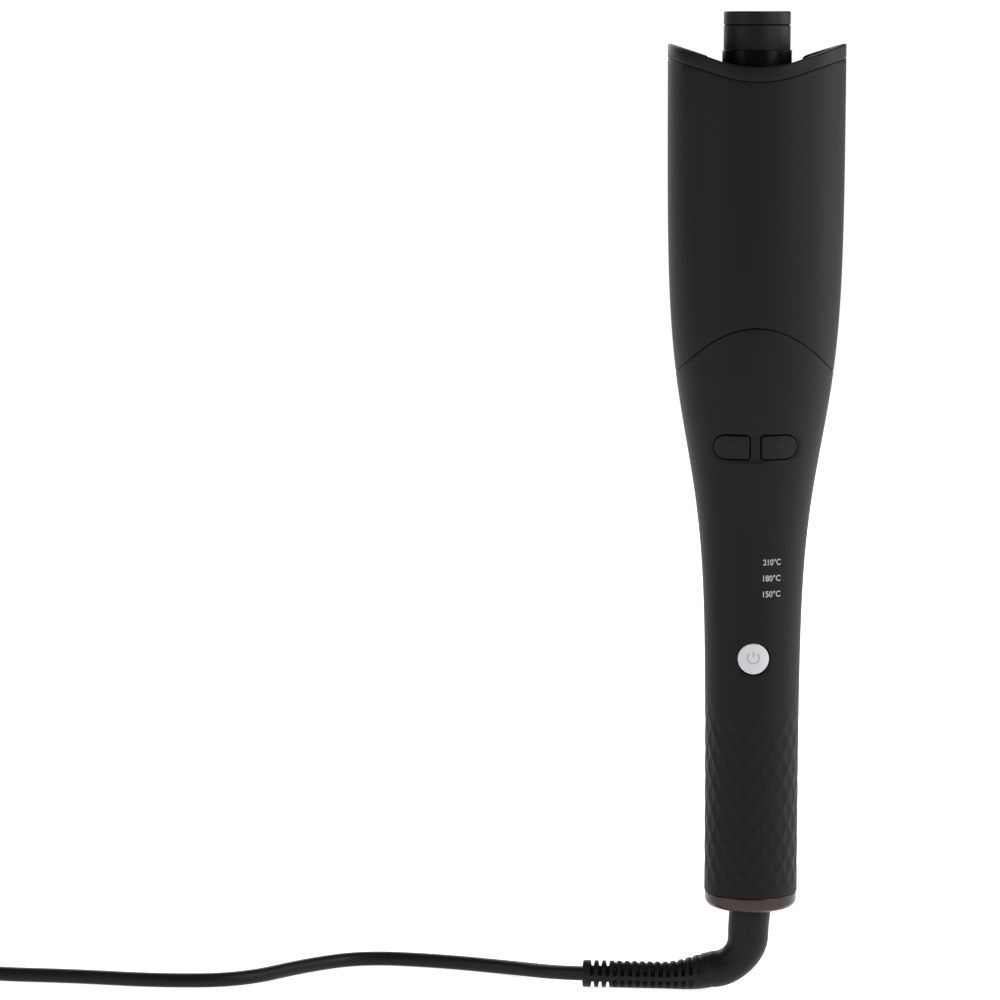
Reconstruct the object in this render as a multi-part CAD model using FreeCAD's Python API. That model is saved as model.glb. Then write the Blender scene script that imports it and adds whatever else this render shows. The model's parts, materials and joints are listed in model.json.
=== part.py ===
"""Automatic hair curler, modelled upright, in millimetres.

+Z runs up the axis of the grip and the barrel, and the buttons face -Y. The origin is on that axis at
the middle of the grip. The swivelling strain relief hangs under the grip and just touches the surface
that the cord lies on.
"""

import FreeCAD, Part

import math
import os

from FreeCAD import Vector

# ---------------------------------------------------------------- driving dimensions

# Outer body: a slim grip that flares into the wide head
GRIP_R = 19.1
FLARE_GAIN = 16.8
FLARE_Z = 139.2
FLARE_LENGTH = 23.9
WALL = 2.2
BODY_BOTTOM = -47.0
BODY_EDGE = 1.0

# Arched joint between the housing and the head shroud
ARCH_TOP = 187.7
ARCH_CURVE = 0.0192
LIP = 4.0
LIP_WALL = 1.2
LIP_GAP = 0.1

# Mouth of the head: a shallow V with a rounded bottom, edged by the rim band
HEAD_TOP = 302.0
RIM_SIDE_Z = 300.3
RIM_SIDE_X = 35.9
RIM_SLOPE = 1 / 3
RIM_BEND_X = 15.4
RIM_BAND = 5.8

# Hair chamber and hair slot
CHAMBER_FLOOR = 196.0
FLOOR_THICKNESS = 4.0
LINER_R_LOW = 28.5
LINER_R_TOP = 30.5
LINER_WALL = 1.6
SLOT_HALF_ANGLE = 38.0
CHEEK_ANGLE = 4.0
SLOT_SILL = 1.0

# Barrel
BARREL_R = 14.0
BARREL_WALL = 1.5
BARREL_BOTTOM = 188.0
BARREL_TOP = 297.5
TIP_R = 13.45
TIP_JOINT = 307.5
TIP_TOP = 313.0

# Heater stack inside the barrel
HEATER_Z = (205.0, 288.0)
SPREADER_R = 12.4
PLATE_HALF_X = 8.0
PLATE_HALF_Y = 2.2
SENSOR_Y = 8.0
SENSOR_TOP = 218.0
FUSE_R = 1.8
THERMISTOR_R = 1.2

# Hub and its running gear
SHAFT_R = 7.0
SHAFT_BOTTOM = 144.0
HUB_FLANGE_R = 15.6
HUB_FLANGE = 3.5
LEAD_BORE_R = 3.5
UPPER_BEARING = (178.5, 183.5)
LOWER_BEARING = (148.0, 153.0)
UPPER_BEARING_R = 11.0
LOWER_BEARING_R = 9.6
RUNNING_CLEARANCE = 0.05
SLIP_RING_Z = (164.5, 160.5, 156.5)
SLIP_RING_R = 8.6
SLIP_RING_H = 2.6
CLIP_Z = 146.2
CLIP_H = 1.2

# Gear frame, hung from the chamber floor on three posts
FRAME_POST_ANGLES = (-90.0, 45.0, 135.0)
FRAME_POST_R = 22.5
FRAME_SCREW_R = 1.3
PILLARS = ((-17.3, -10.0), (17.3, -10.0), (-17.3, 10.0), (17.3, 10.0))
PILLAR_R = 2.2
SEAT = (163.5, 165.5)

# Gear pair
MODULE = 0.6
GEAR_TEETH = 40
PINION_TEETH = 12
PRESSURE_ANGLE = 25.0
ADDENDUM = 0.85
DEDENDUM = 1.2
BACKLASH = 0.12
GEAR_Z = (169.5, 175.5)
GEAR_SPACING = MODULE * (GEAR_TEETH + PINION_TEETH) / 2

# Motor
MOTOR_R = 6.0
MOTOR_FLAT = 5.0
MOTOR_BOTTOM = 129.0
GEARBOX = (154.0, 163.5)
MOTOR_SHAFT_R = 1.5
MOTOR_SCREW_X = 4.4
MOTOR_SCREW_R = 0.8
MOTOR_SCREW_DEPTH = 3.5

# Controls
BUTTON_Z = 139.1
BUTTON_INNER_X = 2.0
BUTTON_OUTER_X = 16.9
BUTTON_HALF_H = 5.25
BUTTON_GAP = 0.3
RECESS_HALF_L = 18.4
RECESS_HALF_H = 6.6
RECESS_DEPTH = 0.5
POWER_Z = 52.4
POWER_R = 6.35
BUTTON_TRAVEL = 0.8
LIGHT_Z = (91.8, 85.2, 78.6)
LIGHT_X = 6.9

# Boards: outer face that carries the switches, thickness, half width and height
BOARD = 1.6
BUTTON_BOARD_Y = -15.6
CONTROL_BOARD_Y = -10.6
POWER_BOARD_Y = 3.0
SWITCH_H = 3.5
PLUNGER_H = 0.8

# Screws and the posts that take them, as (x, z) on the boards
HOUSING_SCREW_Z = (-33.0, 112.0)
HOUSING_SCREW_SEAT = 6.0
HOUSING_SCREW_BITE = 8.0
CONTROL_POSTS = ((-7.5, 24.0), (-7.5, 98.0))
BUTTON_POSTS = ((0.0, 131.3), (0.0, 147.0))
POWER_POSTS = ((8.5, -19.0), (-8.5, 35.0))
POST_R = 2.4
BUTTON_POST_R = 1.8
BOARD_SCREW_R = 0.9

# Bottom ring and swivel
RING_R = 18.3
RING_TOP = -47.2
RING_BOTTOM = -53.3
RING_EDGE_R = 3.0
RING_FLOOR = 4.0
SPIGOT_TOP = -40.0
SPIGOT_INNER_R = 14.8
SWIVEL_R = 7.05
SWIVEL_TOP = -43.0
SWIVEL_GROOVE_R = 6.3
SWIVEL_CLIP_Z = (-49.0, -48.0)
SWIVEL_RING_Z = (-46.9, -44.6)
SWIVEL_RING_R = 8.2
SWIVEL_ROOT_R = 6.5
SWIVEL_ROOT_BOTTOM = -64.0

# Strain relief
FLOOR_Z = -89.8
RELIEF_TOP = -53.6
RELIEF_R = 8.35
RELIEF_BEND_Z = -66.5
RELIEF_BEND_R = 15.5
RELIEF_BEND_TUBE = 7.6
RELIEF_KNEE_X = -37.0
RELIEF_LOW_Z = -84.2
RELIEF_END_X = -69.2
RELIEF_END_R = 5.55
RELIEF_YAW = -3.0
RIB_START_X = -24.7
RIB_PITCH = 3.16
RIB_GAP = 1.4
RIB_COUNT = 14

# Cord
CORD_D = 6.0
COIL_TURN_R = 32.5
COIL_WIDTH = 24.9
COIL_HEIGHT = 12.7
COIL_EDGE = 1.6
COIL_CENTRE = (-374.8, -21.8)
CORD_ROUTE = [
    (-67.5, 3.5, -84.2),
    (-79.5, 8.0, -85.2),
    (-98.0, 22.0, -86.8),
    (-130.0, 33.4, -86.8),
    (-163.0, 38.6, -86.8),
    (-186.0, 24.0, -86.8),
    (-211.0, -3.0, -86.8),
    (-245.0, -5.5, -86.8),
    (-282.0, 1.0, -86.8),
    (-313.0, 3.0, -86.8),
    (-337.0, 9.5, -86.8),
    (-354.0, 16.3, -86.8),
    (-368.0, 19.0, -86.8),
]
TAIL_ROUTE = [
    (-379.0, 16.9, -81.5),
    (-388.0, 16.9, -80.7),
    (-396.0, 16.7, -80.7),
    (-409.0, 15.9, -82.1),
    (-423.0, 15.8, -82.9),
]

# Plug: flat two-pin type
PLUG_X = -421.0
PLUG_CENTRE_Y = TAIL_ROUTE[-1][1]
PLUG_LENGTH = 36.0
PLUG_WIDTH = 35.3
PLUG_HEIGHT = 13.8
PIN_R = 2.0
PIN_LENGTH = 19.0
PIN_SPACING = 18.6

X_AXIS = Vector(1, 0, 0)
Y_AXIS = Vector(0, 1, 0)
Z_AXIS = Vector(0, 0, 1)
ORIGIN = Vector(0, 0, 0)


# ---------------------------------------------------------------- shape helpers

def cylinder(radius, bottom, top, x=0.0, y=0.0):
    return Part.makeCylinder(radius, top - bottom, Vector(x, y, bottom), Z_AXIS)


def tube(outer, inner, bottom, top, x=0.0, y=0.0):
    return cylinder(outer, bottom, top, x, y).cut(cylinder(inner, bottom - 1, top + 1, x, y))


def rod_y(radius, start, end, x, z):
    """A round rod along Y."""
    return Part.makeCylinder(radius, end - start, Vector(x, start, z), Y_AXIS)


def block(x_range, y_range, z_range):
    size = [high - low for low, high in (x_range, y_range, z_range)]
    return Part.makeBox(*size, Vector(x_range[0], y_range[0], z_range[0]))


def fuse(*shapes):
    return shapes[0].multiFuse(list(shapes[1:])).removeSplitter()


def turned(points):
    """A solid of revolution about Z from corners given as (radius, z)."""
    corners = [Vector(radius, 0, z) for radius, z in points]
    face = Part.Face(Part.makePolygon(corners + corners[:1]))
    return face.revolve(ORIGIN, Z_AXIS, 360)


def spline(points):
    curve = Part.BSplineCurve()
    curve.interpolate(points)
    return curve.toShape()


def body_radius(z):
    """Outer radius of the body at height z."""
    return GRIP_R + FLARE_GAIN / (1 + math.exp((FLARE_Z - z) / FLARE_LENGTH))


def body_core(inset, bottom, top):
    """The solid body drawn in by an inset, between two heights."""
    steps = max(4, round((top - bottom) / 10))
    heights = [bottom + (top - bottom) * i / steps for i in range(steps + 1)]
    side = [Vector(body_radius(z) - inset, 0, z) for z in heights]
    low, high = Vector(0, 0, bottom), Vector(0, 0, top)
    edges = [
        Part.makeLine(low, side[0]),
        spline(side),
        Part.makeLine(side[-1], high),
        Part.makeLine(high, low),
    ]
    return Part.Face(Part.Wire(edges)).revolve(ORIGIN, Z_AXIS, 360)


def body_layer(outer_inset, inner_inset, bottom, top):
    """A layer of the body wall between two insets."""
    return body_core(outer_inset, bottom, top).cut(body_core(inner_inset, bottom - 1, top + 1))


def wedge(half_angle, bottom, top, radius=60.0):
    """A wedge that opens towards +Y from the axis."""
    sine, cosine = math.sin(math.radians(half_angle)), math.cos(math.radians(half_angle))
    corners = [
        Vector(0, 0, bottom),
        Vector(radius * sine, radius * cosine, bottom),
        Vector(0, radius * 1.6, bottom),
        Vector(-radius * sine, radius * cosine, bottom),
    ]
    face = Part.Face(Part.makePolygon(corners + corners[:1]))
    return face.extrude(Vector(0, 0, top - bottom))


def along_y(edges):
    """A block right through the body along Y, from edges drawn in the XZ plane."""
    face = Part.Face(Part.Wire(edges))
    face.translate(Vector(0, -60, 0))
    return face.extrude(Vector(0, 120, 0))


def above_arch(lift=0.0):
    """Everything above the arched joint, raised by a lift."""
    reach = 40.0
    xs = [-reach + reach * i / 6 for i in range(13)]
    arch = [Vector(x, 0, ARCH_TOP + lift - ARCH_CURVE * x * x) for x in xs]
    left, right = Vector(-reach, 0, HEAD_TOP + 40), Vector(reach, 0, HEAD_TOP + 40)
    return along_y([spline(arch), Part.makeLine(arch[-1], right), Part.makeLine(right, left),
                    Part.makeLine(left, arch[0])])


def above_rim(drop=0.0):
    """Everything above the V of the mouth, lowered by a drop."""
    reach = 50.0
    bend_z = RIM_SIDE_Z - RIM_SLOPE * (RIM_SIDE_X - RIM_BEND_X) - drop
    bend_angle = math.atan(RIM_SLOPE)
    sag = RIM_BEND_X * math.tan(bend_angle / 2)
    side_z = RIM_SIDE_Z + RIM_SLOPE * (reach - RIM_SIDE_X) - drop
    left, right = Vector(-reach, 0, side_z), Vector(reach, 0, side_z)
    bend_left, bend_right = Vector(-RIM_BEND_X, 0, bend_z), Vector(RIM_BEND_X, 0, bend_z)
    bottom = Vector(0, 0, bend_z - sag)
    top_left, top_right = Vector(-reach, 0, HEAD_TOP + 60), Vector(reach, 0, HEAD_TOP + 60)
    return along_y([
        Part.makeLine(left, bend_left),
        Part.Arc(bend_left, bottom, bend_right).toShape(),
        Part.makeLine(bend_right, right),
        Part.makeLine(right, top_right),
        Part.makeLine(top_right, top_left),
        Part.makeLine(top_left, left),
    ])


def cone_between(start, end, start_r, end_r):
    direction = end - start
    return Part.makeCone(start_r, end_r, direction.Length, start, direction)


def rounded_path(points, name):
    """Straight runs joined by tangent arcs, each as large as its two runs allow."""
    corners = [Vector(*point) for point in points]
    edges, start, radii = [], corners[0], []
    for before, corner, after in zip(corners, corners[1:], corners[2:]):
        run_in, run_out = corner - before, after - corner
        reach = 0.45 * min(run_in.Length, run_out.Length)
        turn = run_in.getAngle(run_out)
        radii.append(reach / math.tan(turn / 2))
        to_before, to_after = (before - corner).normalize(), (after - corner).normalize()
        arc_start, arc_end = corner + to_before * reach, corner + to_after * reach
        centre = corner + (to_before + to_after).normalize() * math.hypot(reach, radii[-1])
        middle = centre + (corner - centre).normalize() * radii[-1]
        edges += [Part.makeLine(start, arc_start), Part.Arc(arc_start, middle, arc_end).toShape()]
        start = arc_end
    edges.append(Part.makeLine(start, corners[-1]))
    print(name, "radii", [round(radius) for radius in radii])
    return Part.Wire(edges)


def cord_tube(points, diameter, name):
    """A round tube along a route of straight runs and tangent arcs."""
    path = rounded_path(points, name)
    start, direction = Vector(*points[0]), Vector(*points[1]) - Vector(*points[0])
    ring = Part.Wire(Part.makeCircle(diameter / 2, start, direction))
    solid = path.makePipeShell([ring], True, False)
    expected = math.pi * diameter ** 2 / 4 * path.Length
    print(name, "length", round(path.Length, 1), "volume ratio", round(solid.Volume / expected, 4))
    return solid


def involute_gear(teeth, bottom, top):
    """A spur gear with involute flanks, the middle of one tooth on +X."""
    pitch_r = MODULE * teeth / 2
    tip_r = pitch_r + ADDENDUM * MODULE
    root_r = pitch_r - DEDENDUM * MODULE
    base_r = pitch_r * math.cos(math.radians(PRESSURE_ANGLE))
    half_tooth = math.pi / (2 * teeth) - BACKLASH / (2 * pitch_r)
    roll_at_pitch = math.tan(math.radians(PRESSURE_ANGLE)) - math.radians(PRESSURE_ANGLE)

    def flank_angle(radius):
        """Half the tooth's angle at a radius."""
        if radius <= base_r:
            return half_tooth + roll_at_pitch
        pressure = math.acos(base_r / radius)
        return half_tooth + roll_at_pitch - (math.tan(pressure) - pressure)

    flank_start = max(base_r, root_r + 0.05)
    radii = [root_r] + [flank_start + (tip_r - flank_start) * i / 3 for i in range(4)]
    step = 2 * math.pi / teeth
    outline = []
    for tooth in range(teeth):
        centre = tooth * step
        rising = [(radius, centre - flank_angle(radius)) for radius in radii]
        falling = [(radius, centre + flank_angle(radius)) for radius in reversed(radii)]
        outline += [Vector(r * math.cos(a), r * math.sin(a), bottom) for r, a in rising + falling]
    return Part.Face(Part.makePolygon(outline + outline[:1])).extrude(Vector(0, 0, top - bottom))


def screw_y(head_r, head_h, shank_r, shank_l, x, y, z, towards):
    """A screw along Y; its head's under side is at y and its shank points to +Y or -Y."""
    away = Vector(0, -towards, 0)
    head = Part.makeCylinder(head_r, head_h, Vector(x, y, z), away)
    shank = Part.makeCylinder(shank_r, shank_l, Vector(x, y, z), Vector(0, towards, 0))
    slot = block((x - head_r, x + head_r), (-0.25, 0.25), (-0.3, 0.3))
    slot.translate(Vector(0, y - towards * head_h, z))
    return fuse(head, shank).cut(slot)


# ---------------------------------------------------------------- head

def mouth_cut(shape):
    return shape.cut(above_rim(RIM_BAND))


def head_shroud():
    shell = body_layer(0, WALL, 150, HEAD_TOP).common(above_arch())
    slot = wedge(SLOT_HALF_ANGLE + CHEEK_ANGLE, CHAMBER_FLOOR + SLOT_SILL, HEAD_TOP + 20)
    return mouth_cut(shell).cut(slot)


def rim_band():
    ring = body_core(0, 270, HEAD_TOP).cut(cylinder(LINER_R_TOP, 260, HEAD_TOP + 10))
    band = ring.common(above_rim(RIM_BAND)).cut(above_rim())
    return band.cut(wedge(SLOT_HALF_ANGLE, 260, HEAD_TOP + 20))


def liner_radius(z):
    """Inner radius of the chamber at height z."""
    share = (z - CHAMBER_FLOOR) / (RIM_SIDE_Z - CHAMBER_FLOOR)
    return LINER_R_LOW + (LINER_R_TOP - LINER_R_LOW) * share


def chamber_core(offset, bottom, top):
    """The chamber's tapered space, made wider by an offset."""
    return turned([(0, bottom), (liner_radius(bottom) + offset, bottom),
                   (liner_radius(top) + offset, top), (0, top)])


def chamber_liner():
    wall = chamber_core(LINER_WALL, CHAMBER_FLOOR, HEAD_TOP).cut(chamber_core(0, 190, HEAD_TOP + 5))
    return mouth_cut(wall).cut(wedge(SLOT_HALF_ANGLE + CHEEK_ANGLE, 190, HEAD_TOP + 20))


def slot_cheek(side):
    """The radial wall that closes the gap between shroud and liner beside the hair slot."""
    wall = body_core(0, CHAMBER_FLOOR + SLOT_SILL, HEAD_TOP).cut(chamber_core(0, 190, HEAD_TOP + 5))
    sector = wedge(SLOT_HALF_ANGLE + CHEEK_ANGLE, 190, HEAD_TOP + 10)
    sector = sector.cut(wedge(SLOT_HALF_ANGLE, 180, HEAD_TOP + 20))
    half = block((0, side * 60) if side > 0 else (side * 60, 0), (0, 60), (180, HEAD_TOP + 30))
    return mouth_cut(wall.common(sector)).common(half)


def frame_posts():
    for angle in FRAME_POST_ANGLES:
        yield (FRAME_POST_R * math.cos(math.radians(angle)), FRAME_POST_R * math.sin(math.radians(angle)))


def chamber_floor():
    underside = CHAMBER_FLOOR - FLOOR_THICKNESS
    disc = cylinder(body_radius(underside) - WALL - 0.1, underside, CHAMBER_FLOOR)
    collar = cylinder(BARREL_R + 2.4, CHAMBER_FLOOR, CHAMBER_FLOOR + 2.5)
    posts = [cylinder(3.2, UPPER_BEARING[1], underside, x, y) for x, y in frame_posts()]
    floor = fuse(disc, collar, *posts).cut(cylinder(BARREL_R + 0.6, 180, 220))
    for x, y in frame_posts():
        floor = floor.cut(cylinder(FRAME_SCREW_R, 170, 190, x, y))
    return floor


# ---------------------------------------------------------------- housing

def d_prism(side, offset, y_start=-34.0, y_end=-12.0):
    """A D-shaped prism along Y: straight near the middle, round at the outer end."""
    radius = BUTTON_HALF_H + offset
    round_x = BUTTON_OUTER_X - BUTTON_HALF_H
    inner_x = BUTTON_INNER_X - offset
    x_range = (inner_x, round_x) if side > 0 else (-round_x, -inner_x)
    flat = block(x_range, (y_start, y_end), (BUTTON_Z - radius, BUTTON_Z + radius))
    return fuse(flat, rod_y(radius, y_start, y_end, side * round_x, BUTTON_Z))


def pill_prism():
    end_x = RECESS_HALF_L - RECESS_HALF_H
    flat = block((-end_x, end_x), (-34, -12), (BUTTON_Z - RECESS_HALF_H, BUTTON_Z + RECESS_HALF_H))
    return fuse(flat, *(rod_y(RECESS_HALF_H, -34, -12, x, BUTTON_Z) for x in (-end_x, end_x)))


def housing_shell():
    """Both halves of the housing in one piece: the wall, and the lip that carries the shroud."""
    lip_top = CHAMBER_FLOOR - FLOOR_THICKNESS - 0.1
    shell = body_layer(0, WALL + LIP_WALL, BODY_BOTTOM, lip_top).cut(above_arch(LIP))
    shell = shell.cut(above_arch().cut(body_core(WALL + LIP_GAP, 140, 210)))
    shell = shell.cut(body_core(WALL, BODY_BOTTOM - 2, 205).cut(above_arch(-LIP)))
    edge_r = body_radius(BODY_BOTTOM)
    chamfer = turned([(edge_r - BODY_EDGE, BODY_BOTTOM - 0.5), (edge_r + 3, BODY_BOTTOM - 0.5),
                      (edge_r + 3, BODY_BOTTOM + BODY_EDGE + 3), (edge_r - BODY_EDGE, BODY_BOTTOM)])
    return shell.cut(chamfer)


def front_housing():
    shell = housing_shell().common(block((-60, 60), (-60, 0), (-60, 200)))
    inside = body_core(WALL - 0.4, BODY_BOTTOM, 190)
    posts = [rod_y(POST_R, -30, CONTROL_BOARD_Y, x, z) for x, z in CONTROL_POSTS]
    posts += [rod_y(BUTTON_POST_R, -30, BUTTON_BOARD_Y, x, z) for x, z in BUTTON_POSTS]
    posts += [rod_y(3.0, -30, 0, 0, z) for z in HOUSING_SCREW_Z]
    shell = fuse(shell, *(post.common(inside) for post in posts))
    for x, z in CONTROL_POSTS:
        shell = shell.cut(rod_y(BOARD_SCREW_R, CONTROL_BOARD_Y - 4, 0, x, z))
    for x, z in BUTTON_POSTS:
        shell = shell.cut(rod_y(BOARD_SCREW_R, BUTTON_BOARD_Y - 4, 0, x, z))
    for z in HOUSING_SCREW_Z:
        shell = shell.cut(rod_y(1.2, -11, 1, 0, z))
    recess = pill_prism().common(body_layer(-2, RECESS_DEPTH, 120, 160))
    openings = [d_prism(side, BUTTON_GAP) for side in (-1, 1)]
    openings.append(rod_y(POWER_R + BUTTON_GAP, -30, -10, 0, POWER_Z))
    return shell.cut(recess).cut(openings[0]).cut(openings[1]).cut(openings[2])


def rear_housing():
    shell = housing_shell().common(block((-60, 60), (0, 60), (-60, 200)))
    inside = body_core(WALL - 0.4, BODY_BOTTOM, 190)
    posts = [rod_y(3.4, 0, 30, 0, z) for z in HOUSING_SCREW_Z]
    posts += [rod_y(POST_R, POWER_BOARD_Y + BOARD, 30, x, z) for x, z in POWER_POSTS]
    shell = fuse(shell, *(post.common(inside) for post in posts))
    for z in HOUSING_SCREW_Z:
        seat_y = body_radius(z) - HOUSING_SCREW_SEAT
        shell = shell.cut(fuse(rod_y(1.5, -1, 40, 0, z), rod_y(2.8, seat_y, 40, 0, z)))
    for x, z in POWER_POSTS:
        shell = shell.cut(rod_y(BOARD_SCREW_R, 0, POWER_BOARD_Y + BOARD + 4, x, z))
    return shell


def housing_screws():
    screws = []
    for z in HOUSING_SCREW_Z:
        seat_y = body_radius(z) - HOUSING_SCREW_SEAT
        screws.append(screw_y(2.6, 2.0, 1.2, seat_y + HOUSING_SCREW_BITE, 0, seat_y, z, -1))
    return Part.makeCompound(screws)


def bottom_ring():
    edge = RING_EDGE_R
    corner = Vector(RING_R - edge, 0, RING_BOTTOM + edge)
    bend = math.sqrt(0.5) * edge
    bore_r = SWIVEL_R + RUNNING_CLEARANCE
    spigot_r = GRIP_R - WALL - 0.05
    points = [(bore_r, RING_BOTTOM), (RING_R - edge, RING_BOTTOM)]
    rest = [(RING_R, RING_BOTTOM + edge), (RING_R, RING_TOP), (spigot_r, RING_TOP), (spigot_r, SPIGOT_TOP),
            (SPIGOT_INNER_R, SPIGOT_TOP), (SPIGOT_INNER_R, RING_BOTTOM + RING_FLOOR),
            (bore_r, RING_BOTTOM + RING_FLOOR)]
    low = [Vector(r, 0, z) for r, z in points]
    high = [Vector(r, 0, z) for r, z in rest]
    rounding = Part.Arc(low[-1], corner + Vector(bend, 0, -bend), high[0]).toShape()
    outline = Part.Wire([Part.makePolygon([high[-1]] + low), rounding, Part.makePolygon(high)])
    return Part.Face(outline).revolve(ORIGIN, Z_AXIS, 360)


# ---------------------------------------------------------------- buttons

def body_button(prism, flange_prism, centre_x, centre_z, stem_end, stem_r):
    """A cap flush with the body, a flange behind the wall and a stem that ends before the switch."""
    low, high = centre_z - 15, centre_z + 15
    cap = prism.common(body_layer(0, 3.4, low, high))
    flange = flange_prism.common(body_layer(2.5, 3.4, low, high))
    front_y = -math.sqrt((body_radius(centre_z) - 3.0) ** 2 - centre_x ** 2)
    return fuse(cap, flange, rod_y(stem_r, front_y, stem_end, centre_x, centre_z))


def d_button(side):
    centre_x = side * (BUTTON_INNER_X + BUTTON_OUTER_X) / 2
    stem_end = BUTTON_BOARD_Y - SWITCH_H - PLUNGER_H - BUTTON_TRAVEL - 0.1
    return body_button(d_prism(side, 0), d_prism(side, 0.7), centre_x, BUTTON_Z, stem_end, 1.8)


def power_button():
    stem_end = CONTROL_BOARD_Y - SWITCH_H - PLUNGER_H - BUTTON_TRAVEL - 0.1
    cap = rod_y(POWER_R, -30, -12, 0, POWER_Z)
    flange = rod_y(POWER_R + 1.0, -30, -14.6, 0, POWER_Z)
    return body_button(cap, flange, 0, POWER_Z, stem_end, 2.0)


# ---------------------------------------------------------------- barrel and hub

def heated_barrel():
    return tube(BARREL_R, BARREL_R - BARREL_WALL, BARREL_BOTTOM, BARREL_TOP)


def tip_sleeve():
    inner_r = BARREL_R - BARREL_WALL
    return turned([(9.0, BARREL_TOP - 7), (inner_r, BARREL_TOP - 7), (inner_r, BARREL_TOP),
                   (TIP_R, BARREL_TOP), (TIP_R, TIP_JOINT - 0.5), (TIP_R - 0.5, TIP_JOINT),
                   (9.0, TIP_JOINT)])


def tip_cap():
    edge = 1.2
    return turned([(0, TIP_JOINT - 8), (9.0, TIP_JOINT - 8), (9.0, TIP_JOINT), (TIP_R - 0.5, TIP_JOINT),
                   (TIP_R, TIP_JOINT + 0.5), (TIP_R, TIP_TOP - edge), (TIP_R - 0.35, TIP_TOP - 0.35),
                   (TIP_R - edge, TIP_TOP), (0, TIP_TOP)])


def hair_catch():
    """A strip on the barrel's front with two hooks that pick up the lock of hair."""
    strip = block((-2.5, 2.5), (-BARREL_R - 1.2, -10), (214, 276))
    strip = strip.cut(cylinder(BARREL_R, 200, 290))
    hooks = []
    for z in (224.0, 256.0):
        stem = block((-1.5, 1.5), (-BARREL_R - 4.6, -BARREL_R - 1.0), (z, z + 9))
        finger = block((1.4, 7.0), (-BARREL_R - 4.6, -BARREL_R - 2.8), (z, z + 9))
        hooks.append(fuse(stem, finger))
    return fuse(strip, *hooks)


def heater_plate():
    return block((-PLATE_HALF_X, PLATE_HALF_X), (-PLATE_HALF_Y, PLATE_HALF_Y), HEATER_Z)


def heat_spreader(side):
    half = block((-20, 20), (PLATE_HALF_Y, 20) if side > 0 else (-20, -PLATE_HALF_Y), HEATER_Z)
    bore_r = FUSE_R if side > 0 else THERMISTOR_R
    bore = cylinder(bore_r, HEATER_Z[0] - 5, SENSOR_TOP, 0, side * SENSOR_Y)
    return cylinder(SPREADER_R, *HEATER_Z).common(half).cut(bore)


def thermal_fuse():
    return cylinder(FUSE_R, HEATER_Z[0], SENSOR_TOP, 0, SENSOR_Y)


def thermistor():
    return cylinder(THERMISTOR_R, HEATER_Z[0], SENSOR_TOP, 0, -SENSOR_Y)


def rotor_hub():
    plug = cylinder(BARREL_R - BARREL_WALL, BARREL_BOTTOM, 200)
    flange = cylinder(HUB_FLANGE_R, BARREL_BOTTOM - HUB_FLANGE, BARREL_BOTTOM)
    shaft = cylinder(SHAFT_R, SHAFT_BOTTOM, BARREL_BOTTOM - 1)
    groove = tube(SHAFT_R + 1, SHAFT_R - 0.8, CLIP_Z, CLIP_Z + CLIP_H)
    return fuse(plug, flange, shaft).cut(cylinder(LEAD_BORE_R, 140, 205)).cut(groove)


def shaft_clip():
    ring = tube(SHAFT_R + 2.3, SHAFT_R - 0.8, CLIP_Z, CLIP_Z + CLIP_H)
    return ring.cut(block((-2.5, 2.5), (0, 12), (CLIP_Z - 1, CLIP_Z + 3)))


def rotor_leads():
    leads = []
    for angle in (90, 210, 330):
        x, y = 1.8 * math.cos(math.radians(angle)), 1.8 * math.sin(math.radians(angle))
        leads.append(cylinder(0.8, 150, HEATER_Z[0], x, y))
    return Part.makeCompound(leads)


def drive_gear():
    gear = involute_gear(GEAR_TEETH, *GEAR_Z)
    return gear.cut(cylinder(SHAFT_R, 160, 180))


def drive_pinion():
    """The pinion, turned so that one of its gaps faces the drive gear's tooth on +Y."""
    pinion = involute_gear(PINION_TEETH, *GEAR_Z)
    pinion.rotate(ORIGIN, Z_AXIS, 90.0 + 180.0 / PINION_TEETH)
    pinion.translate(Vector(0, GEAR_SPACING, 0))
    return pinion.cut(cylinder(MOTOR_SHAFT_R, 160, 180, 0, GEAR_SPACING))


def slip_ring(z):
    return tube(SLIP_RING_R, SHAFT_R, z - SLIP_RING_H / 2, z + SLIP_RING_H / 2)


def bearing(outer_r, z_range):
    return tube(outer_r, SHAFT_R + RUNNING_CLEARANCE, *z_range)


# ---------------------------------------------------------------- gear frame and motor

def gear_frame():
    top = cylinder(27, *UPPER_BEARING).cut(cylinder(UPPER_BEARING_R, 170, 190))
    lower = cylinder(22, LOWER_BEARING[0], 152.0).cut(block((-30, 30), (-30, -12.1), (140, 160)))
    lower = lower.cut(cylinder(LOWER_BEARING_R, 140, 160))
    lower = lower.cut(block((-6.3, 6.3), (10.5, 30), (140, 160)))
    pillars = [cylinder(PILLAR_R, 150, 180, x, y) for x, y in PILLARS]
    seat = block((-17.3, 17.3), (10.6, 20.8), SEAT)
    seat = seat.cut(cylinder(2.0, 160, 170, 0, GEAR_SPACING))
    frame = fuse(top, lower, seat, *pillars)
    for x, y in frame_posts():
        frame = frame.cut(cylinder(FRAME_SCREW_R + 0.2, 170, 190, x, y))
    for x in (-MOTOR_SCREW_X, MOTOR_SCREW_X):
        frame = frame.cut(cylinder(MOTOR_SCREW_R, 160, 170, x, GEAR_SPACING))
    return frame


def frame_screws():
    screws = [fuse(cylinder(2.6, 176.3, UPPER_BEARING[0], x, y), cylinder(FRAME_SCREW_R, 177, 189.5, x, y))
              for x, y in frame_posts()]
    return Part.makeCompound(screws)


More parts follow.
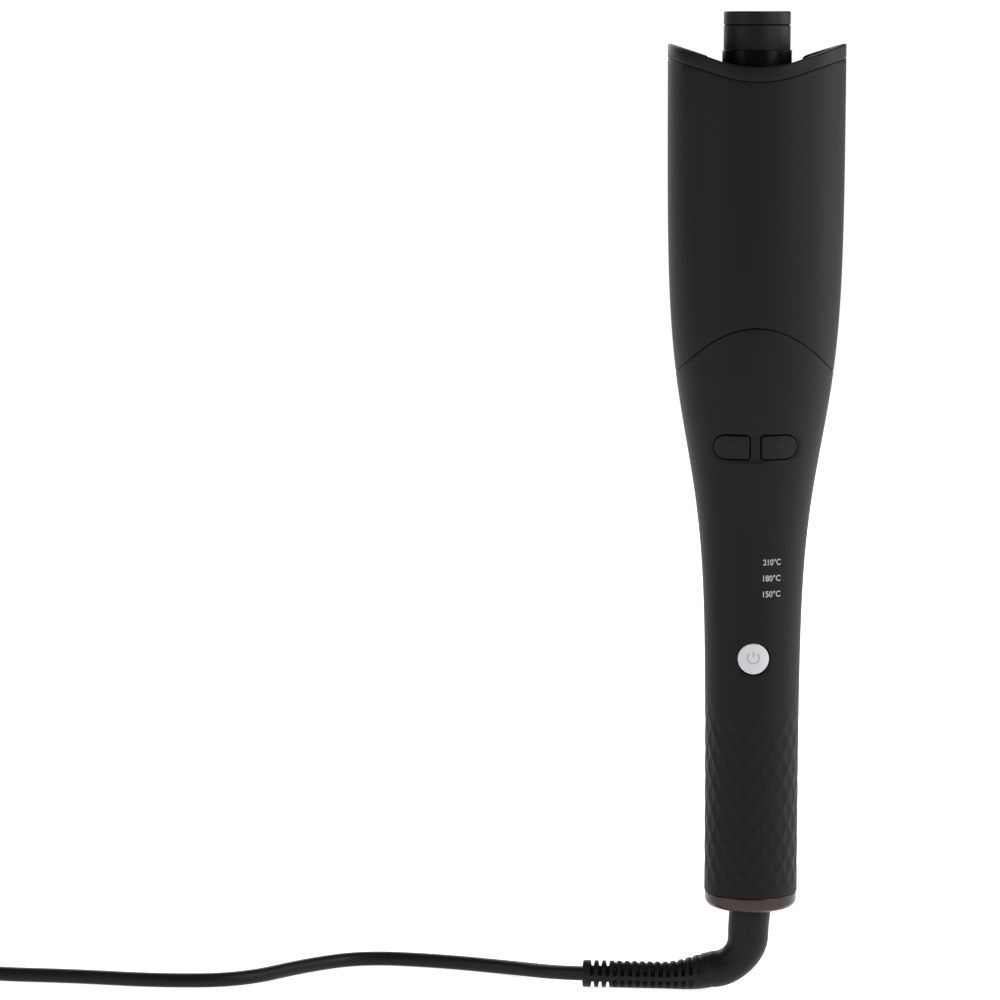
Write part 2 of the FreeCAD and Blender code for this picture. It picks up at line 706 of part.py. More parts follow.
def motor_screws():
    screws = [fuse(cylinder(1.4, SEAT[1], SEAT[1] + 1.1, x, GEAR_SPACING),
                   cylinder(MOTOR_SCREW_R, SEAT[0] - MOTOR_SCREW_DEPTH, SEAT[1] + 0.5, x, GEAR_SPACING))
              for x in (-MOTOR_SCREW_X, MOTOR_SCREW_X)]
    return Part.makeCompound(screws)


def gear_motor():
    can = cylinder(MOTOR_R, MOTOR_BOTTOM, GEARBOX[0], 0, GEAR_SPACING)
    flats = block((-10, 10), (GEAR_SPACING - MOTOR_FLAT, GEAR_SPACING + MOTOR_FLAT), (120, GEARBOX[0]))
    return can.common(flats)


def motor_gearbox():
    box = block((-MOTOR_R, MOTOR_R), (GEAR_SPACING - MOTOR_FLAT, GEAR_SPACING + MOTOR_FLAT), GEARBOX)
    box = box.cut(cylinder(MOTOR_SHAFT_R + RUNNING_CLEARANCE, 157.5, 170, 0, GEAR_SPACING))
    for x in (-MOTOR_SCREW_X, MOTOR_SCREW_X):
        box = box.cut(cylinder(MOTOR_SCREW_R, SEAT[0] - MOTOR_SCREW_DEPTH, 170, x, GEAR_SPACING))
    return box


def motor_shaft():
    return cylinder(MOTOR_SHAFT_R, 158.0, 176.5, 0, GEAR_SPACING)


def brush_block():
    return block((-7, 7), (-16.0, -11.0), (152.0, 167.0))


def brushes():
    blades = [block((-1.5, 1.5), (-11.0, -SLIP_RING_R - 0.15), (z - 0.9, z + 0.9)) for z in SLIP_RING_Z]
    return Part.makeCompound(blades)


# ---------------------------------------------------------------- boards and what they carry

def board(y, half_width, z_range, holes):
    plate = block((-half_width, half_width), (y, y + BOARD), z_range)
    for x, z in holes:
        plate = plate.cut(rod_y(BOARD_SCREW_R, y - 1, y + 3, x, z))
    return plate


def tact_switch(board_y, x, z):
    """A small square switch on a board's front face, with its round plunger."""
    body = block((x - 3, x + 3), (board_y - SWITCH_H, board_y), (z - 3, z + 3))
    return fuse(body, rod_y(1.6, board_y - SWITCH_H - PLUNGER_H, board_y - 1, x, z))


def temperature_light(z):
    return block((LIGHT_X - 0.8, LIGHT_X + 0.8), (CONTROL_BOARD_Y - 1.2, CONTROL_BOARD_Y), (z - 1, z + 1))


def light_guide():
    """Three fingers on a common bar that carry light from the board to the inside of the wall."""
    low, high = LIGHT_Z[-1] - 2.4, LIGHT_Z[0] + 2.4
    bar = block((LIGHT_X - 2.4, LIGHT_X + 2.4), (-14.2, -12.2), (low, high))
    fingers = [block((LIGHT_X - 2.4, LIGHT_X + 2.4), (-22, -13), (z - 1.6, z + 1.6)) for z in LIGHT_Z]
    return fuse(bar, *fingers).common(body_core(WALL + 0.1, 60, 110))


def board_screws():
    screws = []
    for posts, face_y, towards in ((CONTROL_POSTS, CONTROL_BOARD_Y + BOARD, -1),
                                   (BUTTON_POSTS, BUTTON_BOARD_Y + BOARD, -1),
                                   (POWER_POSTS, POWER_BOARD_Y, 1)):
        screws += [screw_y(1.9, 1.3, BOARD_SCREW_R, 5.2, x, face_y, z, towards) for x, z in posts]
    return Part.makeCompound(screws)


def tact_switches():
    button_x = (BUTTON_INNER_X + BUTTON_OUTER_X) / 2
    places = ((BUTTON_BOARD_Y, -button_x, BUTTON_Z), (BUTTON_BOARD_Y, button_x, BUTTON_Z),
              (CONTROL_BOARD_Y, 0, POWER_Z))
    return Part.makeCompound([tact_switch(*place) for place in places])


def inner_leads():
    """Leads from the brush block, the motor and the swivel contacts to the power board."""
    lead_d = 1.8
    board_face = POWER_BOARD_Y + BOARD
    leads = []
    for x in (-10.8, -8.4, 8.4):
        route = [
            (x * 0.55, -13.05, 152),
            (x * 0.55, -13.05, 145),
            (x, -7, 130),
            (x, -2.5, 112),
            (x, -1.2, 80),
            (x, 1.2, 56),
            (x, 3.8, 44.5),
            (x, 3.8, 40),
        ]
        leads.append(cord_tube(route, lead_d, "heater lead"))
    for side in (-1, 1):
        route = [
            (side * 3, GEAR_SPACING, MOTOR_BOTTOM),
            (side * 3, GEAR_SPACING, 125),
            (side * 6, 9, 104),
            (side * 5.2, 6.2, 72),
            (side * 4.5, 3.8, 46),
            (side * 4.5, 3.8, 40),
        ]
        leads.append(cord_tube(route, lead_d, "motor lead"))
        leads.append(cylinder(lead_d / 2, -42.5, -22.5, side * 11, board_face + lead_d / 2))
    return Part.makeCompound(leads)


# ---------------------------------------------------------------- swivel and strain relief

def swivel_core():
    shaft = cylinder(SWIVEL_R, RELIEF_TOP, SWIVEL_TOP)
    root = cylinder(SWIVEL_ROOT_R, SWIVEL_ROOT_BOTTOM, RELIEF_TOP)
    groove = tube(SWIVEL_R + 1, SWIVEL_GROOVE_R, *SWIVEL_CLIP_Z)
    return fuse(shaft, root).cut(groove).cut(cylinder(2.6, -65, -40))


def swivel_clip():
    ring = tube(9.5, SWIVEL_GROOVE_R, *SWIVEL_CLIP_Z)
    return ring.cut(block((-2.5, 2.5), (0, 12), (-50, -47)))


def swivel_rings():
    rings = [tube(SWIVEL_RING_R, SWIVEL_R, z - 0.6, z + 0.6) for z in SWIVEL_RING_Z]
    return Part.makeCompound(rings)


def contact_carrier():
    return tube(SPIGOT_INNER_R, 10.2, RING_BOTTOM + RING_FLOOR, -42.5)


def contact_springs():
    near, far = SWIVEL_RING_R + 0.15, 10.1
    blades = [block(x_range, (-1.2, 1.2), (z - 0.35, z + 0.35))
              for x_range, z in zip(((-far, -near), (near, far)), SWIVEL_RING_Z)]
    return Part.makeCompound(blades)


def relief_axis(x):
    """Height of the strain relief's axis beyond its bend."""
    drop = RELIEF_LOW_Z - (RELIEF_BEND_Z - RELIEF_BEND_R)
    share = min(1.0, (x + RELIEF_BEND_R) / (RELIEF_KNEE_X + RELIEF_BEND_R))
    return RELIEF_BEND_Z - RELIEF_BEND_R + drop * math.sin(share * math.pi / 2)


def relief_radius(x):
    """Radius of the strain relief beyond its bend."""
    share = min(1.0, (x + RELIEF_BEND_R) / (RELIEF_KNEE_X + RELIEF_BEND_R))
    return RELIEF_END_R + (RELIEF_BEND_TUBE - RELIEF_END_R) * (1 + math.cos(share * math.pi)) / 2


def strain_relief():
    """An elbow and a long taper in one skin, with ring grooves between its ribs."""
    sections = [(Vector(0, 0, RELIEF_TOP), Z_AXIS, RELIEF_R), (Vector(0, 0, -60), Z_AXIS, RELIEF_R - 0.3)]
    for angle in (0, 22.5, 45, 67.5, 90):
        sine, cosine = math.sin(math.radians(angle)), math.cos(math.radians(angle))
        centre = Vector(RELIEF_BEND_R * (cosine - 1), 0, RELIEF_BEND_Z - RELIEF_BEND_R * sine)
        sections.append((centre, Vector(sine, 0, cosine), RELIEF_BEND_TUBE))
    for x in (-22.0, -29.0, -37.0, -48.0, -59.0, RELIEF_END_X):
        sections.append((Vector(x, 0, relief_axis(x)), Vector(1, 0, 0), relief_radius(x)))
    rings = [Part.Wire(Part.makeCircle(radius, centre, normal)) for centre, normal, radius in sections]
    body = Part.makeLoft(rings, True, False)
    for rib in range(RIB_COUNT):
        x = RIB_START_X - RIB_PITCH * rib
        centre = Vector(x, 0, relief_axis(x))
        groove = Part.makeCylinder(9, RIB_GAP, centre, Vector(1, 0, 0))
        body = body.cut(groove.cut(Part.makeCylinder(4.3, RIB_GAP, centre, Vector(1, 0, 0))))
    body = body.cut(cylinder(SWIVEL_ROOT_R, SWIVEL_ROOT_BOTTOM, -50))
    body.rotate(ORIGIN, Z_AXIS, RELIEF_YAW)
    return body


# ---------------------------------------------------------------- cord and plug

def cord_coil():
    """The outer shape of the wound cord: a ring with rounded edges on the floor."""
    x, y = COIL_CENTRE
    outer_r, inner_r = COIL_TURN_R + COIL_WIDTH / 2, COIL_TURN_R - COIL_WIDTH / 2
    ring = tube(outer_r, inner_r, FLOOR_Z, FLOOR_Z + COIL_HEIGHT, x, y)
    return ring.makeFillet(COIL_EDGE, ring.Edges)


def cord_tie():
    """A clip over the bundle of turns, open towards the floor."""
    x, y = COIL_CENTRE
    middle_y = y - COIL_TURN_R
    half, wall = COIL_WIDTH / 2 + 0.5, 1.0
    top = FLOOR_Z + COIL_HEIGHT + 0.2
    outer = block((x - 4, x + 4), (middle_y - half - wall, middle_y + half + wall), (FLOOR_Z, top + wall))
    return outer.cut(block((x - 5, x + 5), (middle_y - half, middle_y + half), (FLOOR_Z - 1, top)))


def plug_body():
    """A flat moulded plug that widens from the cord to the pins, which point to -X."""
    half_w, neck_w = PLUG_WIDTH / 2, 4.5
    side = [(0, neck_w), (12, neck_w + 1), (20, half_w - 3), (26, half_w), (PLUG_LENGTH, half_w)]
    outline = side + [(along, -across) for along, across in reversed(side)]
    corners = [Vector(PLUG_X - along, PLUG_CENTRE_Y + across, FLOOR_Z) for along, across in outline]
    solid = Part.Face(Part.makePolygon(corners + corners[:1])).extrude(Vector(0, 0, PLUG_HEIGHT))
    return solid.makeFillet(2.5, [edge for edge in solid.Edges if abs(edge.BoundBox.ZLength) < 0.01
                                  and edge.BoundBox.XMax > PLUG_X - PLUG_LENGTH + 0.1])


def plug_pins():
    pins = []
    for side in (-1, 1):
        foot = Vector(PLUG_X - PLUG_LENGTH, PLUG_CENTRE_Y + side * PIN_SPACING / 2, FLOOR_Z + PLUG_HEIGHT / 2)
        pins.append(Part.makeCylinder(PIN_R, PIN_LENGTH, foot, -X_AXIS))
    return Part.makeCompound(pins)


# ---------------------------------------------------------------- all the nodes

def nodes():
    """Every sub-part by its name."""
    yield "head_shroud", head_shroud()
    yield "rim_band", rim_band()
    yield "chamber_liner", chamber_liner()
    yield "slot_cheek_left", slot_cheek(-1)
    yield "slot_cheek_right", slot_cheek(1)
    yield "chamber_floor", chamber_floor()
    yield "front_housing", front_housing()
    yield "rear_housing", rear_housing()
    yield "housing_screws", housing_screws()
    yield "bottom_ring", bottom_ring()
    yield "left_button", d_button(-1)
    yield "right_button", d_button(1)
    yield "power_button", power_button()
    yield "heated_barrel", heated_barrel()
    yield "tip_sleeve", tip_sleeve()
    yield "tip_cap", tip_cap()
    yield "hair_catch", hair_catch()
    yield "heater_plate", heater_plate()
    yield "heat_spreader_front", heat_spreader(-1)
    yield "heat_spreader_rear", heat_spreader(1)
    yield "thermal_fuse", thermal_fuse()
    yield "thermistor", thermistor()
    yield "rotor_hub", rotor_hub()
    yield "shaft_clip", shaft_clip()
    yield "rotor_leads", rotor_leads()
    yield "drive_gear", drive_gear()
    yield "slip_rings", Part.makeCompound([slip_ring(z) for z in SLIP_RING_Z])
    yield "upper_bearing", bearing(UPPER_BEARING_R, UPPER_BEARING)
    yield "lower_bearing", bearing(LOWER_BEARING_R, LOWER_BEARING)
    yield "gear_frame", gear_frame()
    yield "frame_screws", frame_screws()
    yield "motor_screws", motor_screws()
    yield "gear_motor", gear_motor()
    yield "motor_gearbox", motor_gearbox()
    yield "motor_shaft", motor_shaft()
    yield "drive_pinion", drive_pinion()
    yield "brush_block", brush_block()
    yield "brushes", brushes()
    yield "button_board", board(BUTTON_BOARD_Y, 13.5, (129.5, 149.2), BUTTON_POSTS)
    yield "tact_switches", tact_switches()
    yield "control_board", board(CONTROL_BOARD_Y, 11.0, (16, 104), CONTROL_POSTS)
    yield "temperature_lights", Part.makeCompound([temperature_light(z) for z in LIGHT_Z])
    yield "light_guide", light_guide()
    yield "power_board", board(POWER_BOARD_Y, 12.0, (-24, 40), POWER_POSTS)
    yield "filter_capacitor", cylinder(4.0, 14, 26, 0, POWER_BOARD_Y + BOARD + 4)
    yield "triac", block((-5, 5), (POWER_BOARD_Y + BOARD, POWER_BOARD_Y + BOARD + 4.5), (0, 9))
    yield "inner_leads", inner_leads()
    yield "board_screws", board_screws()
    yield "swivel_core", swivel_core()
    yield "swivel_clip", swivel_clip()
    yield "swivel_rings", swivel_rings()
    yield "contact_carrier", contact_carrier()
    yield "contact_springs", contact_springs()
    yield "strain_relief", strain_relief()
    coil = cord_coil()
    yield "cord", cord_tube(CORD_ROUTE, CORD_D, "cord").cut(coil).cut(strain_relief())
    yield "cord_tail", cord_tube(TAIL_ROUTE, CORD_D, "cord tail").cut(coil).cut(plug_body())
    yield "cord_coil", coil
    yield "cord_tie", cord_tie()
    yield "plug_body", plug_body()
    yield "plug_pins", plug_pins()


os.makedirs("parts", exist_ok=True)
for node_name, shape in nodes():
    print(node_name, len(shape.Solids), shape.isValid(), round(shape.Volume, 1))
    shape.exportStep("parts/" + node_name + ".step")
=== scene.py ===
"""Looks of the automatic hair curler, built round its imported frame. Everything is in metres."""

import json
import math

import bmesh
import bpy
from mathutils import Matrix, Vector


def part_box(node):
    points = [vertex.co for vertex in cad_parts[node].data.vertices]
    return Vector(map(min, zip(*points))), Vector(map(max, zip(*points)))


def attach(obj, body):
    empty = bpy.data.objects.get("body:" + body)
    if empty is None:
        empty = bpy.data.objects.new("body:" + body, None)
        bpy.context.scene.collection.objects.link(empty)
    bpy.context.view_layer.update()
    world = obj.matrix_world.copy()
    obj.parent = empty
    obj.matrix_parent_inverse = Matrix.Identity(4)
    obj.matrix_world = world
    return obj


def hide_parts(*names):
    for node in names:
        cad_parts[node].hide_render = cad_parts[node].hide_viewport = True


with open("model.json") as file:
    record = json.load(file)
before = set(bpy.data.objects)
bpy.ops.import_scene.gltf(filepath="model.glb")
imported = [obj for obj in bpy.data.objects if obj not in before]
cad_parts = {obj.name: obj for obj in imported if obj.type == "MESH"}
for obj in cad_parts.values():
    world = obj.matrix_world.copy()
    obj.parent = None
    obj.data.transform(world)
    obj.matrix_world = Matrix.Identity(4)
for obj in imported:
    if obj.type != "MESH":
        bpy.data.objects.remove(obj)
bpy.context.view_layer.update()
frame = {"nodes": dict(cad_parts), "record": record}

MM = 0.001
FLOOR_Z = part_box("cord")[0].z
TAU = 2 * math.pi


# ---------------------------------------------------------------- the body's shape

GRIP_R = 19.1 * MM
FLARE_GAIN = 16.8 * MM
FLARE_Z = 139.2 * MM
FLARE_LENGTH = 23.9 * MM
WALL = 2.2 * MM
BODY_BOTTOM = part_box("front_housing")[0].z

ARCH_TOP = 187.7 * MM
ARCH_CURVE = 19.2

RIM_SIDE_X = 35.9 * MM
RIM_SIDE_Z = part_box("rim_band")[1].z
RIM_SLOPE = 1 / 3
RIM_BEND_X = 15.4 * MM
RIM_BAND = 5.8 * MM

SLOT_ANGLE = math.radians(180 - 38)
CHEEK_ANGLE = math.radians(180 - 42)
SILL_Z = 197.0 * MM
SILL_CORNER = 4.0 * MM
CHAMBER_FLOOR = 196.0 * MM
LINER_R_LOW = 28.5 * MM
LINER_R_TOP = 30.5 * MM

BUTTON_Z = 139.4 * MM
BUTTON_X = (2.45 * MM, 16.7 * MM)
BUTTON_HALF_H = 4.75 * MM
BUTTON_GAP = 0.5 * MM
RECESS_HALF_L = 18.4 * MM
RECESS_HALF_H = 6.3 * MM
RECESS_DEPTH = 0.5 * MM
POWER_Z = 52.4 * MM
POWER_R = 6.35 * MM

DIAMOND_ANGLE = math.radians(20)
DIAMOND_H = 11.4 * MM
DIAMOND_DEPTH = 0.34 * MM
DIAMOND_FADE_TOP = 22 * MM
DIAMOND_FADE_LOW = 3 * MM
GRIP_RANGE = (-43.5 * MM, 38.0 * MM)


def body_radius(z):
    """Outer radius of the body at height z."""
    return GRIP_R + FLARE_GAIN / (1 + math.exp((FLARE_Z - z) / FLARE_LENGTH))


def arch_z(angle):
    """Height of the arched joint at an angle round the body; 0 is the front."""
    z = ARCH_TOP
    for _ in range(8):
        z = ARCH_TOP - ARCH_CURVE * (body_radius(z) * math.sin(angle)) ** 2
    return z


def rim_z(x):
    """Height of the mouth's edge at a distance x from the middle plane."""
    x = abs(x)
    straight = RIM_SIDE_Z - RIM_SLOPE * (RIM_SIDE_X - max(x, RIM_BEND_X))
    if x >= RIM_BEND_X:
        return straight
    bend = RIM_BEND_X / math.sin(math.atan(RIM_SLOPE))
    foot = math.sqrt(bend ** 2 - RIM_BEND_X ** 2)
    return straight + foot - math.sqrt(bend ** 2 - x ** 2)


def ease(value):
    """Smooth step from 0 to 1."""
    value = min(1.0, max(0.0, value))
    return value * value * (3 - 2 * value)


def diamond_relief(angle, z):
    """Shallow diamond-shaped hollows of the grip, fading out at its two ends."""
    across, up = angle / DIAMOND_ANGLE, z / DIAMOND_H
    side_a = abs((across + up) % 1.0 - 0.5) * 2
    side_b = abs((across - up) % 1.0 - 0.5) * 2
    low, high = GRIP_RANGE
    fade = ease((high - z) / DIAMOND_FADE_TOP) * ease((z - low) / DIAMOND_FADE_LOW)
    return -DIAMOND_DEPTH * fade * (1 - side_a ** 2) * (1 - side_b ** 2)


def recess_relief(x, z):
    """Shallow pill-shaped recess round the two buttons."""
    end_x = RECESS_HALF_L - RECESS_HALF_H
    distance = math.hypot(max(0.0, abs(x) - end_x), z - BUTTON_Z)
    return -RECESS_DEPTH * ease((RECESS_HALF_H + 0.4 * MM - distance) / (1.4 * MM))


def round_point(radius, angle, z):
    """A point round the body; angle 0 is the front."""
    return Vector((radius * math.sin(angle), -radius * math.cos(angle), z))


def on_housing(angle, z):
    """A point on the housing's surface, with the grip's diamonds and the recess."""
    radius = body_radius(z) + diamond_relief(angle, z)
    if abs(z - BUTTON_Z) < 10 * MM and abs(angle) < math.pi / 2:
        radius += recess_relief(radius * math.sin(angle), z)
    return round_point(radius, angle, z)


def on_body(angle, z):
    """A point on the body's plain surface."""
    return round_point(body_radius(z), angle, z)


def towards_axis(point):
    """Level direction from a point to the body's axis."""
    return Vector((-point.x, -point.y, 0)).normalized()


def towards_back(_point):
    """The same direction everywhere: from the front to the back."""
    return Vector((0, 1, 0))


STRAIGHT_REACH = 7 * MM
STRAIGHT_FADE = 6 * MM
RIM_SHEAR_LOW = 280 * MM
RIM_SHEAR_FADE = 8 * MM


def into_housing(point):
    """Towards the axis, but straight back round the buttons, whose caps slide that way."""
    if point.y > 0:
        return towards_axis(point)
    end_x = RECESS_HALF_L - RECESS_HALF_H
    past_recess = math.hypot(max(0.0, abs(point.x) - end_x), point.z - BUTTON_Z) - RECESS_HALF_H
    past_power = math.hypot(point.x, point.z - POWER_Z) - POWER_R
    straight = ease((STRAIGHT_REACH - min(past_recess, past_power)) / STRAIGHT_FADE)
    return towards_axis(point).lerp(towards_back(point), straight).normalized()


def under_rim(thickness):
    """Towards the axis, and down as far as the mouth's V falls over a wall's thickness."""
    def inward(point):
        share = 1 - thickness / math.hypot(point.x, point.y)
        fall = (rim_z(point.x * share) - rim_z(point.x)) / thickness
        fall *= ease((point.z - RIM_SHEAR_LOW) / RIM_SHEAR_FADE)
        return towards_axis(point) + Vector((0, 0, fall))
    return inward


# ---------------------------------------------------------------- materials

def new_material(name, colour, roughness, **values):
    """A material with a colour, a roughness and any further values of its shader."""
    material = bpy.data.materials.new(name)
    material.use_nodes = True
    shader = material.node_tree.nodes["Principled BSDF"]
    shader.inputs["Base Color"].default_value = (*colour, 1)
    shader.inputs["Roughness"].default_value = roughness
    for socket, value in values.items():
        shader.inputs[socket.replace("_", " ")].default_value = value
    return material


def object_noise(tree, scale, detail):
    """Noise in the object's own coordinates."""
    place = tree.nodes.new("ShaderNodeTexCoord")
    noise = tree.nodes.new("ShaderNodeTexNoise")
    noise.inputs["Scale"].default_value = scale
    noise.inputs["Detail"].default_value = detail
    tree.links.new(place.outputs["Object"], noise.inputs["Vector"])
    return noise.outputs["Fac"]


def ramp(tree, factor, low, high):
    """Maps a factor from 0..1 to low..high, as a number."""
    node = tree.nodes.new("ShaderNodeMapRange")
    node.inputs["To Min"].default_value = low
    node.inputs["To Max"].default_value = high
    tree.links.new(factor, node.inputs["Value"])
    return node.outputs["Result"]


def tint(tree, factor, dark, light):
    """Mixes two colours by a factor."""
    node = tree.nodes.new("ShaderNodeMix")
    node.data_type = "RGBA"
    node.inputs["A"].default_value = (*dark, 1)
    node.inputs["B"].default_value = (*light, 1)
    tree.links.new(factor, node.inputs["Factor"])
    return node.outputs["Result"]


SMEAR_SCALE = 12.0


def grain(material, scale, height, spread, colours):
    """Fine moulded grain in the bump, with broad smears in the roughness and the colour."""
    tree, links = material.node_tree, material.node_tree.links
    shader = tree.nodes["Principled BSDF"]
    bump = tree.nodes.new("ShaderNodeBump")
    bump.inputs["Strength"].default_value = 0.6
    bump.inputs["Distance"].default_value = height
    links.new(object_noise(tree, scale, 2.0), bump.inputs["Height"])
    links.new(bump.outputs["Normal"], shader.inputs["Normal"])
    base = shader.inputs["Roughness"].default_value
    broad = object_noise(tree, SMEAR_SCALE, 4.0)
    links.new(ramp(tree, broad, base - spread, base + spread), shader.inputs["Roughness"])
    links.new(tint(tree, broad, *colours), shader.inputs["Base Color"])


def make_materials():
    """All materials of the object, by name."""
    made = {}

    def add(name, colour, roughness, finish, **values):
        made[name] = new_material(name, colour, roughness, **values)
        grain(made[name], **finish)

    add("soft_touch_plastic", (0.0060, 0.0053, 0.0045), 0.52, Specular_IOR_Level=0.13,
        finish={"scale": 2600, "height": 0.00004, "spread": 0.05,
                "colours": ((0.0054, 0.0048, 0.0041), (0.0068, 0.0060, 0.0051))})
    add("rim_plastic", (0.0058, 0.0052, 0.0045), 0.46, Specular_IOR_Level=0.14,
        finish={"scale": 3200, "height": 0.00002, "spread": 0.05,
                "colours": ((0.0052, 0.0047, 0.0041), (0.0066, 0.0059, 0.0051))})
    add("heat_resistant_plastic", (0.008, 0.008, 0.008), 0.48,
        finish={"scale": 1800, "height": 0.00004, "spread": 0.08,
                "colours": ((0.007, 0.007, 0.007), (0.011, 0.0105, 0.010))})
    add("ceramic_black", (0.0012, 0.0012, 0.0013), 0.3, Specular_IOR_Level=0.08,
        finish={"scale": 900, "height": 0.000008, "spread": 0.04,
                "colours": ((0.001, 0.001, 0.0011), (0.0016, 0.0016, 0.0016))})
    add("tip_plastic", (0.0068, 0.0060, 0.0058), 0.46, Specular_IOR_Level=0.16,
        finish={"scale": 2600, "height": 0.00004, "spread": 0.06,
                "colours": ((0.0062, 0.0055, 0.0053), (0.0076, 0.0067, 0.0064))})
    add("rose_gunmetal", (0.050, 0.040, 0.039), 0.30, Metallic=1.0,
        finish={"scale": 1400, "height": 0.00001, "spread": 0.06,
                "colours": ((0.046, 0.036, 0.035), (0.056, 0.045, 0.043))})
    add("white_plastic", (0.44, 0.45, 0.49), 0.42, Metallic=0.35,
        finish={"scale": 1600, "height": 0.00001, "spread": 0.05,
                "colours": ((0.46, 0.47, 0.51), (0.51, 0.52, 0.56))})
    add("button_plastic", (0.0060, 0.0053, 0.0046), 0.46, Specular_IOR_Level=0.14,
        finish={"scale": 2600, "height": 0.00002, "spread": 0.05,
                "colours": ((0.0054, 0.0048, 0.0042), (0.0067, 0.0060, 0.0052))})
    add("black_rubber", (0.0042, 0.0040, 0.0040), 0.44, Specular_IOR_Level=0.17,
        finish={"scale": 1200, "height": 0.00003, "spread": 0.07,
                "colours": ((0.0037, 0.0036, 0.0036), (0.0050, 0.0048, 0.0048))})
    add("pvc_black", (0.0040, 0.0040, 0.0040), 0.42, Specular_IOR_Level=0.17,
        finish={"scale": 700, "height": 0.00003, "spread": 0.07,
                "colours": ((0.0037, 0.0036, 0.0036), (0.0050, 0.0048, 0.0048))})
    add("plug_plastic", (0.009, 0.009, 0.009), 0.44,
        finish={"scale": 2200, "height": 0.00003, "spread": 0.06,
                "colours": ((0.008, 0.008, 0.008), (0.011, 0.011, 0.0105))})
    add("nickel_brass", (0.62, 0.58, 0.50), 0.26, Metallic=1.0,
        finish={"scale": 900, "height": 0.00001, "spread": 0.08,
                "colours": ((0.58, 0.54, 0.46), (0.68, 0.64, 0.56))})
    add("steel", (0.24, 0.24, 0.25), 0.36, Metallic=1.0,
        finish={"scale": 1500, "height": 0.00001, "spread": 0.08,
                "colours": ((0.20, 0.20, 0.21), (0.30, 0.30, 0.31))})
    add("aluminium", (0.62, 0.62, 0.64), 0.4, Metallic=1.0,
        finish={"scale": 1200, "height": 0.00002, "spread": 0.1,
                "colours": ((0.56, 0.56, 0.58), (0.70, 0.70, 0.71))})
    add("copper", (0.70, 0.33, 0.19), 0.3, Metallic=1.0,
        finish={"scale": 1100, "height": 0.00001, "spread": 0.08,
                "colours": ((0.60, 0.27, 0.15), (0.78, 0.40, 0.25))})
    add("bronze", (0.45, 0.30, 0.14), 0.42, Metallic=1.0,
        finish={"scale": 2400, "height": 0.00003, "spread": 0.1,
                "colours": ((0.38, 0.25, 0.11), (0.52, 0.36, 0.18))})
    add("nylon", (0.62, 0.59, 0.50), 0.5,
        finish={"scale": 1500, "height": 0.00002, "spread": 0.06,
                "colours": ((0.58, 0.55, 0.46), (0.66, 0.63, 0.55))})
    add("grey_frame", (0.06, 0.06, 0.065), 0.55,
        finish={"scale": 1500, "height": 0.00004, "spread": 0.08,
                "colours": ((0.05, 0.05, 0.055), (0.08, 0.08, 0.085))})
    add("board", (0.01, 0.07, 0.03), 0.4,
        finish={"scale": 600, "height": 0.00001, "spread": 0.08,
                "colours": ((0.008, 0.055, 0.022), (0.015, 0.09, 0.04))})
    add("component_black", (0.012, 0.012, 0.012), 0.5,
        finish={"scale": 1500, "height": 0.00003, "spread": 0.08,
                "colours": ((0.010, 0.010, 0.010), (0.016, 0.016, 0.016))})
    add("clear_guide", (0.85, 0.87, 0.88), 0.15,
        finish={"scale": 500, "height": 0.00001, "spread": 0.05,
                "colours": ((0.82, 0.84, 0.85), (0.9, 0.91, 0.92))})
    add("light_white", (0.85, 0.85, 0.78), 0.35,
        finish={"scale": 900, "height": 0.00001, "spread": 0.06,
                "colours": ((0.82, 0.82, 0.75), (0.9, 0.9, 0.84))})
    add("ceramic_white", (0.74, 0.73, 0.70), 0.6,
        finish={"scale": 1800, "height": 0.00003, "spread": 0.08,
                "colours": ((0.70, 0.69, 0.66), (0.8, 0.79, 0.76))})
    add("lead_insulation", (0.30, 0.02, 0.015), 0.45,
        finish={"scale": 900, "height": 0.00001, "spread": 0.08,
                "colours": ((0.26, 0.016, 0.012), (0.36, 0.03, 0.02))})
    add("capacitor_sleeve", (0.015, 0.025, 0.09), 0.3,
        finish={"scale": 900, "height": 0.00001, "spread": 0.06,
                "colours": ((0.012, 0.02, 0.075), (0.02, 0.032, 0.11))})
    add("print_grey", (0.34, 0.34, 0.34), 0.5,
        finish={"scale": 3000, "height": 0.00001, "spread": 0.06,
                "colours": ((0.31, 0.31, 0.31), (0.38, 0.38, 0.38))})
    add("symbol_grey", (0.29, 0.30, 0.33), 0.45,
        finish={"scale": 3000, "height": 0.00001, "spread": 0.06,
                "colours": ((0.27, 0.28, 0.31), (0.32, 0.33, 0.36))})
    add("arrow_grey", (0.0105, 0.0098, 0.0090), 0.5, Specular_IOR_Level=0.16,
        finish={"scale": 3000, "height": 0.00001, "spread": 0.06,
                "colours": ((0.0095, 0.0089, 0.0082), (0.0115, 0.0108, 0.0100))})
    return made


MATERIALS = make_materials()


# ---------------------------------------------------------------- mesh helpers

def object_from(bm, name, material, smooth_angle=40):
    """Turns a bmesh into an object, shaded smooth up to an angle in degrees."""
    bmesh.ops.recalc_face_normals(bm, faces=bm.faces[:])
    mesh = bpy.data.meshes.new(name)
    bm.to_mesh(mesh)
    bm.free()
    mesh.materials.append(MATERIALS[material])
    mesh.shade_smooth()
    mesh.set_sharp_from_angle(angle=math.radians(smooth_angle))
    piece = bpy.data.objects.new(name, mesh)
    bpy.context.scene.collection.objects.link(piece)
    return piece


def place(piece, body, slot, *replaced):
    """Puts a piece on its body, in place of CAD nodes. The slot is not used."""
    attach(piece, body)
    if replaced:
        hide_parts(*replaced)


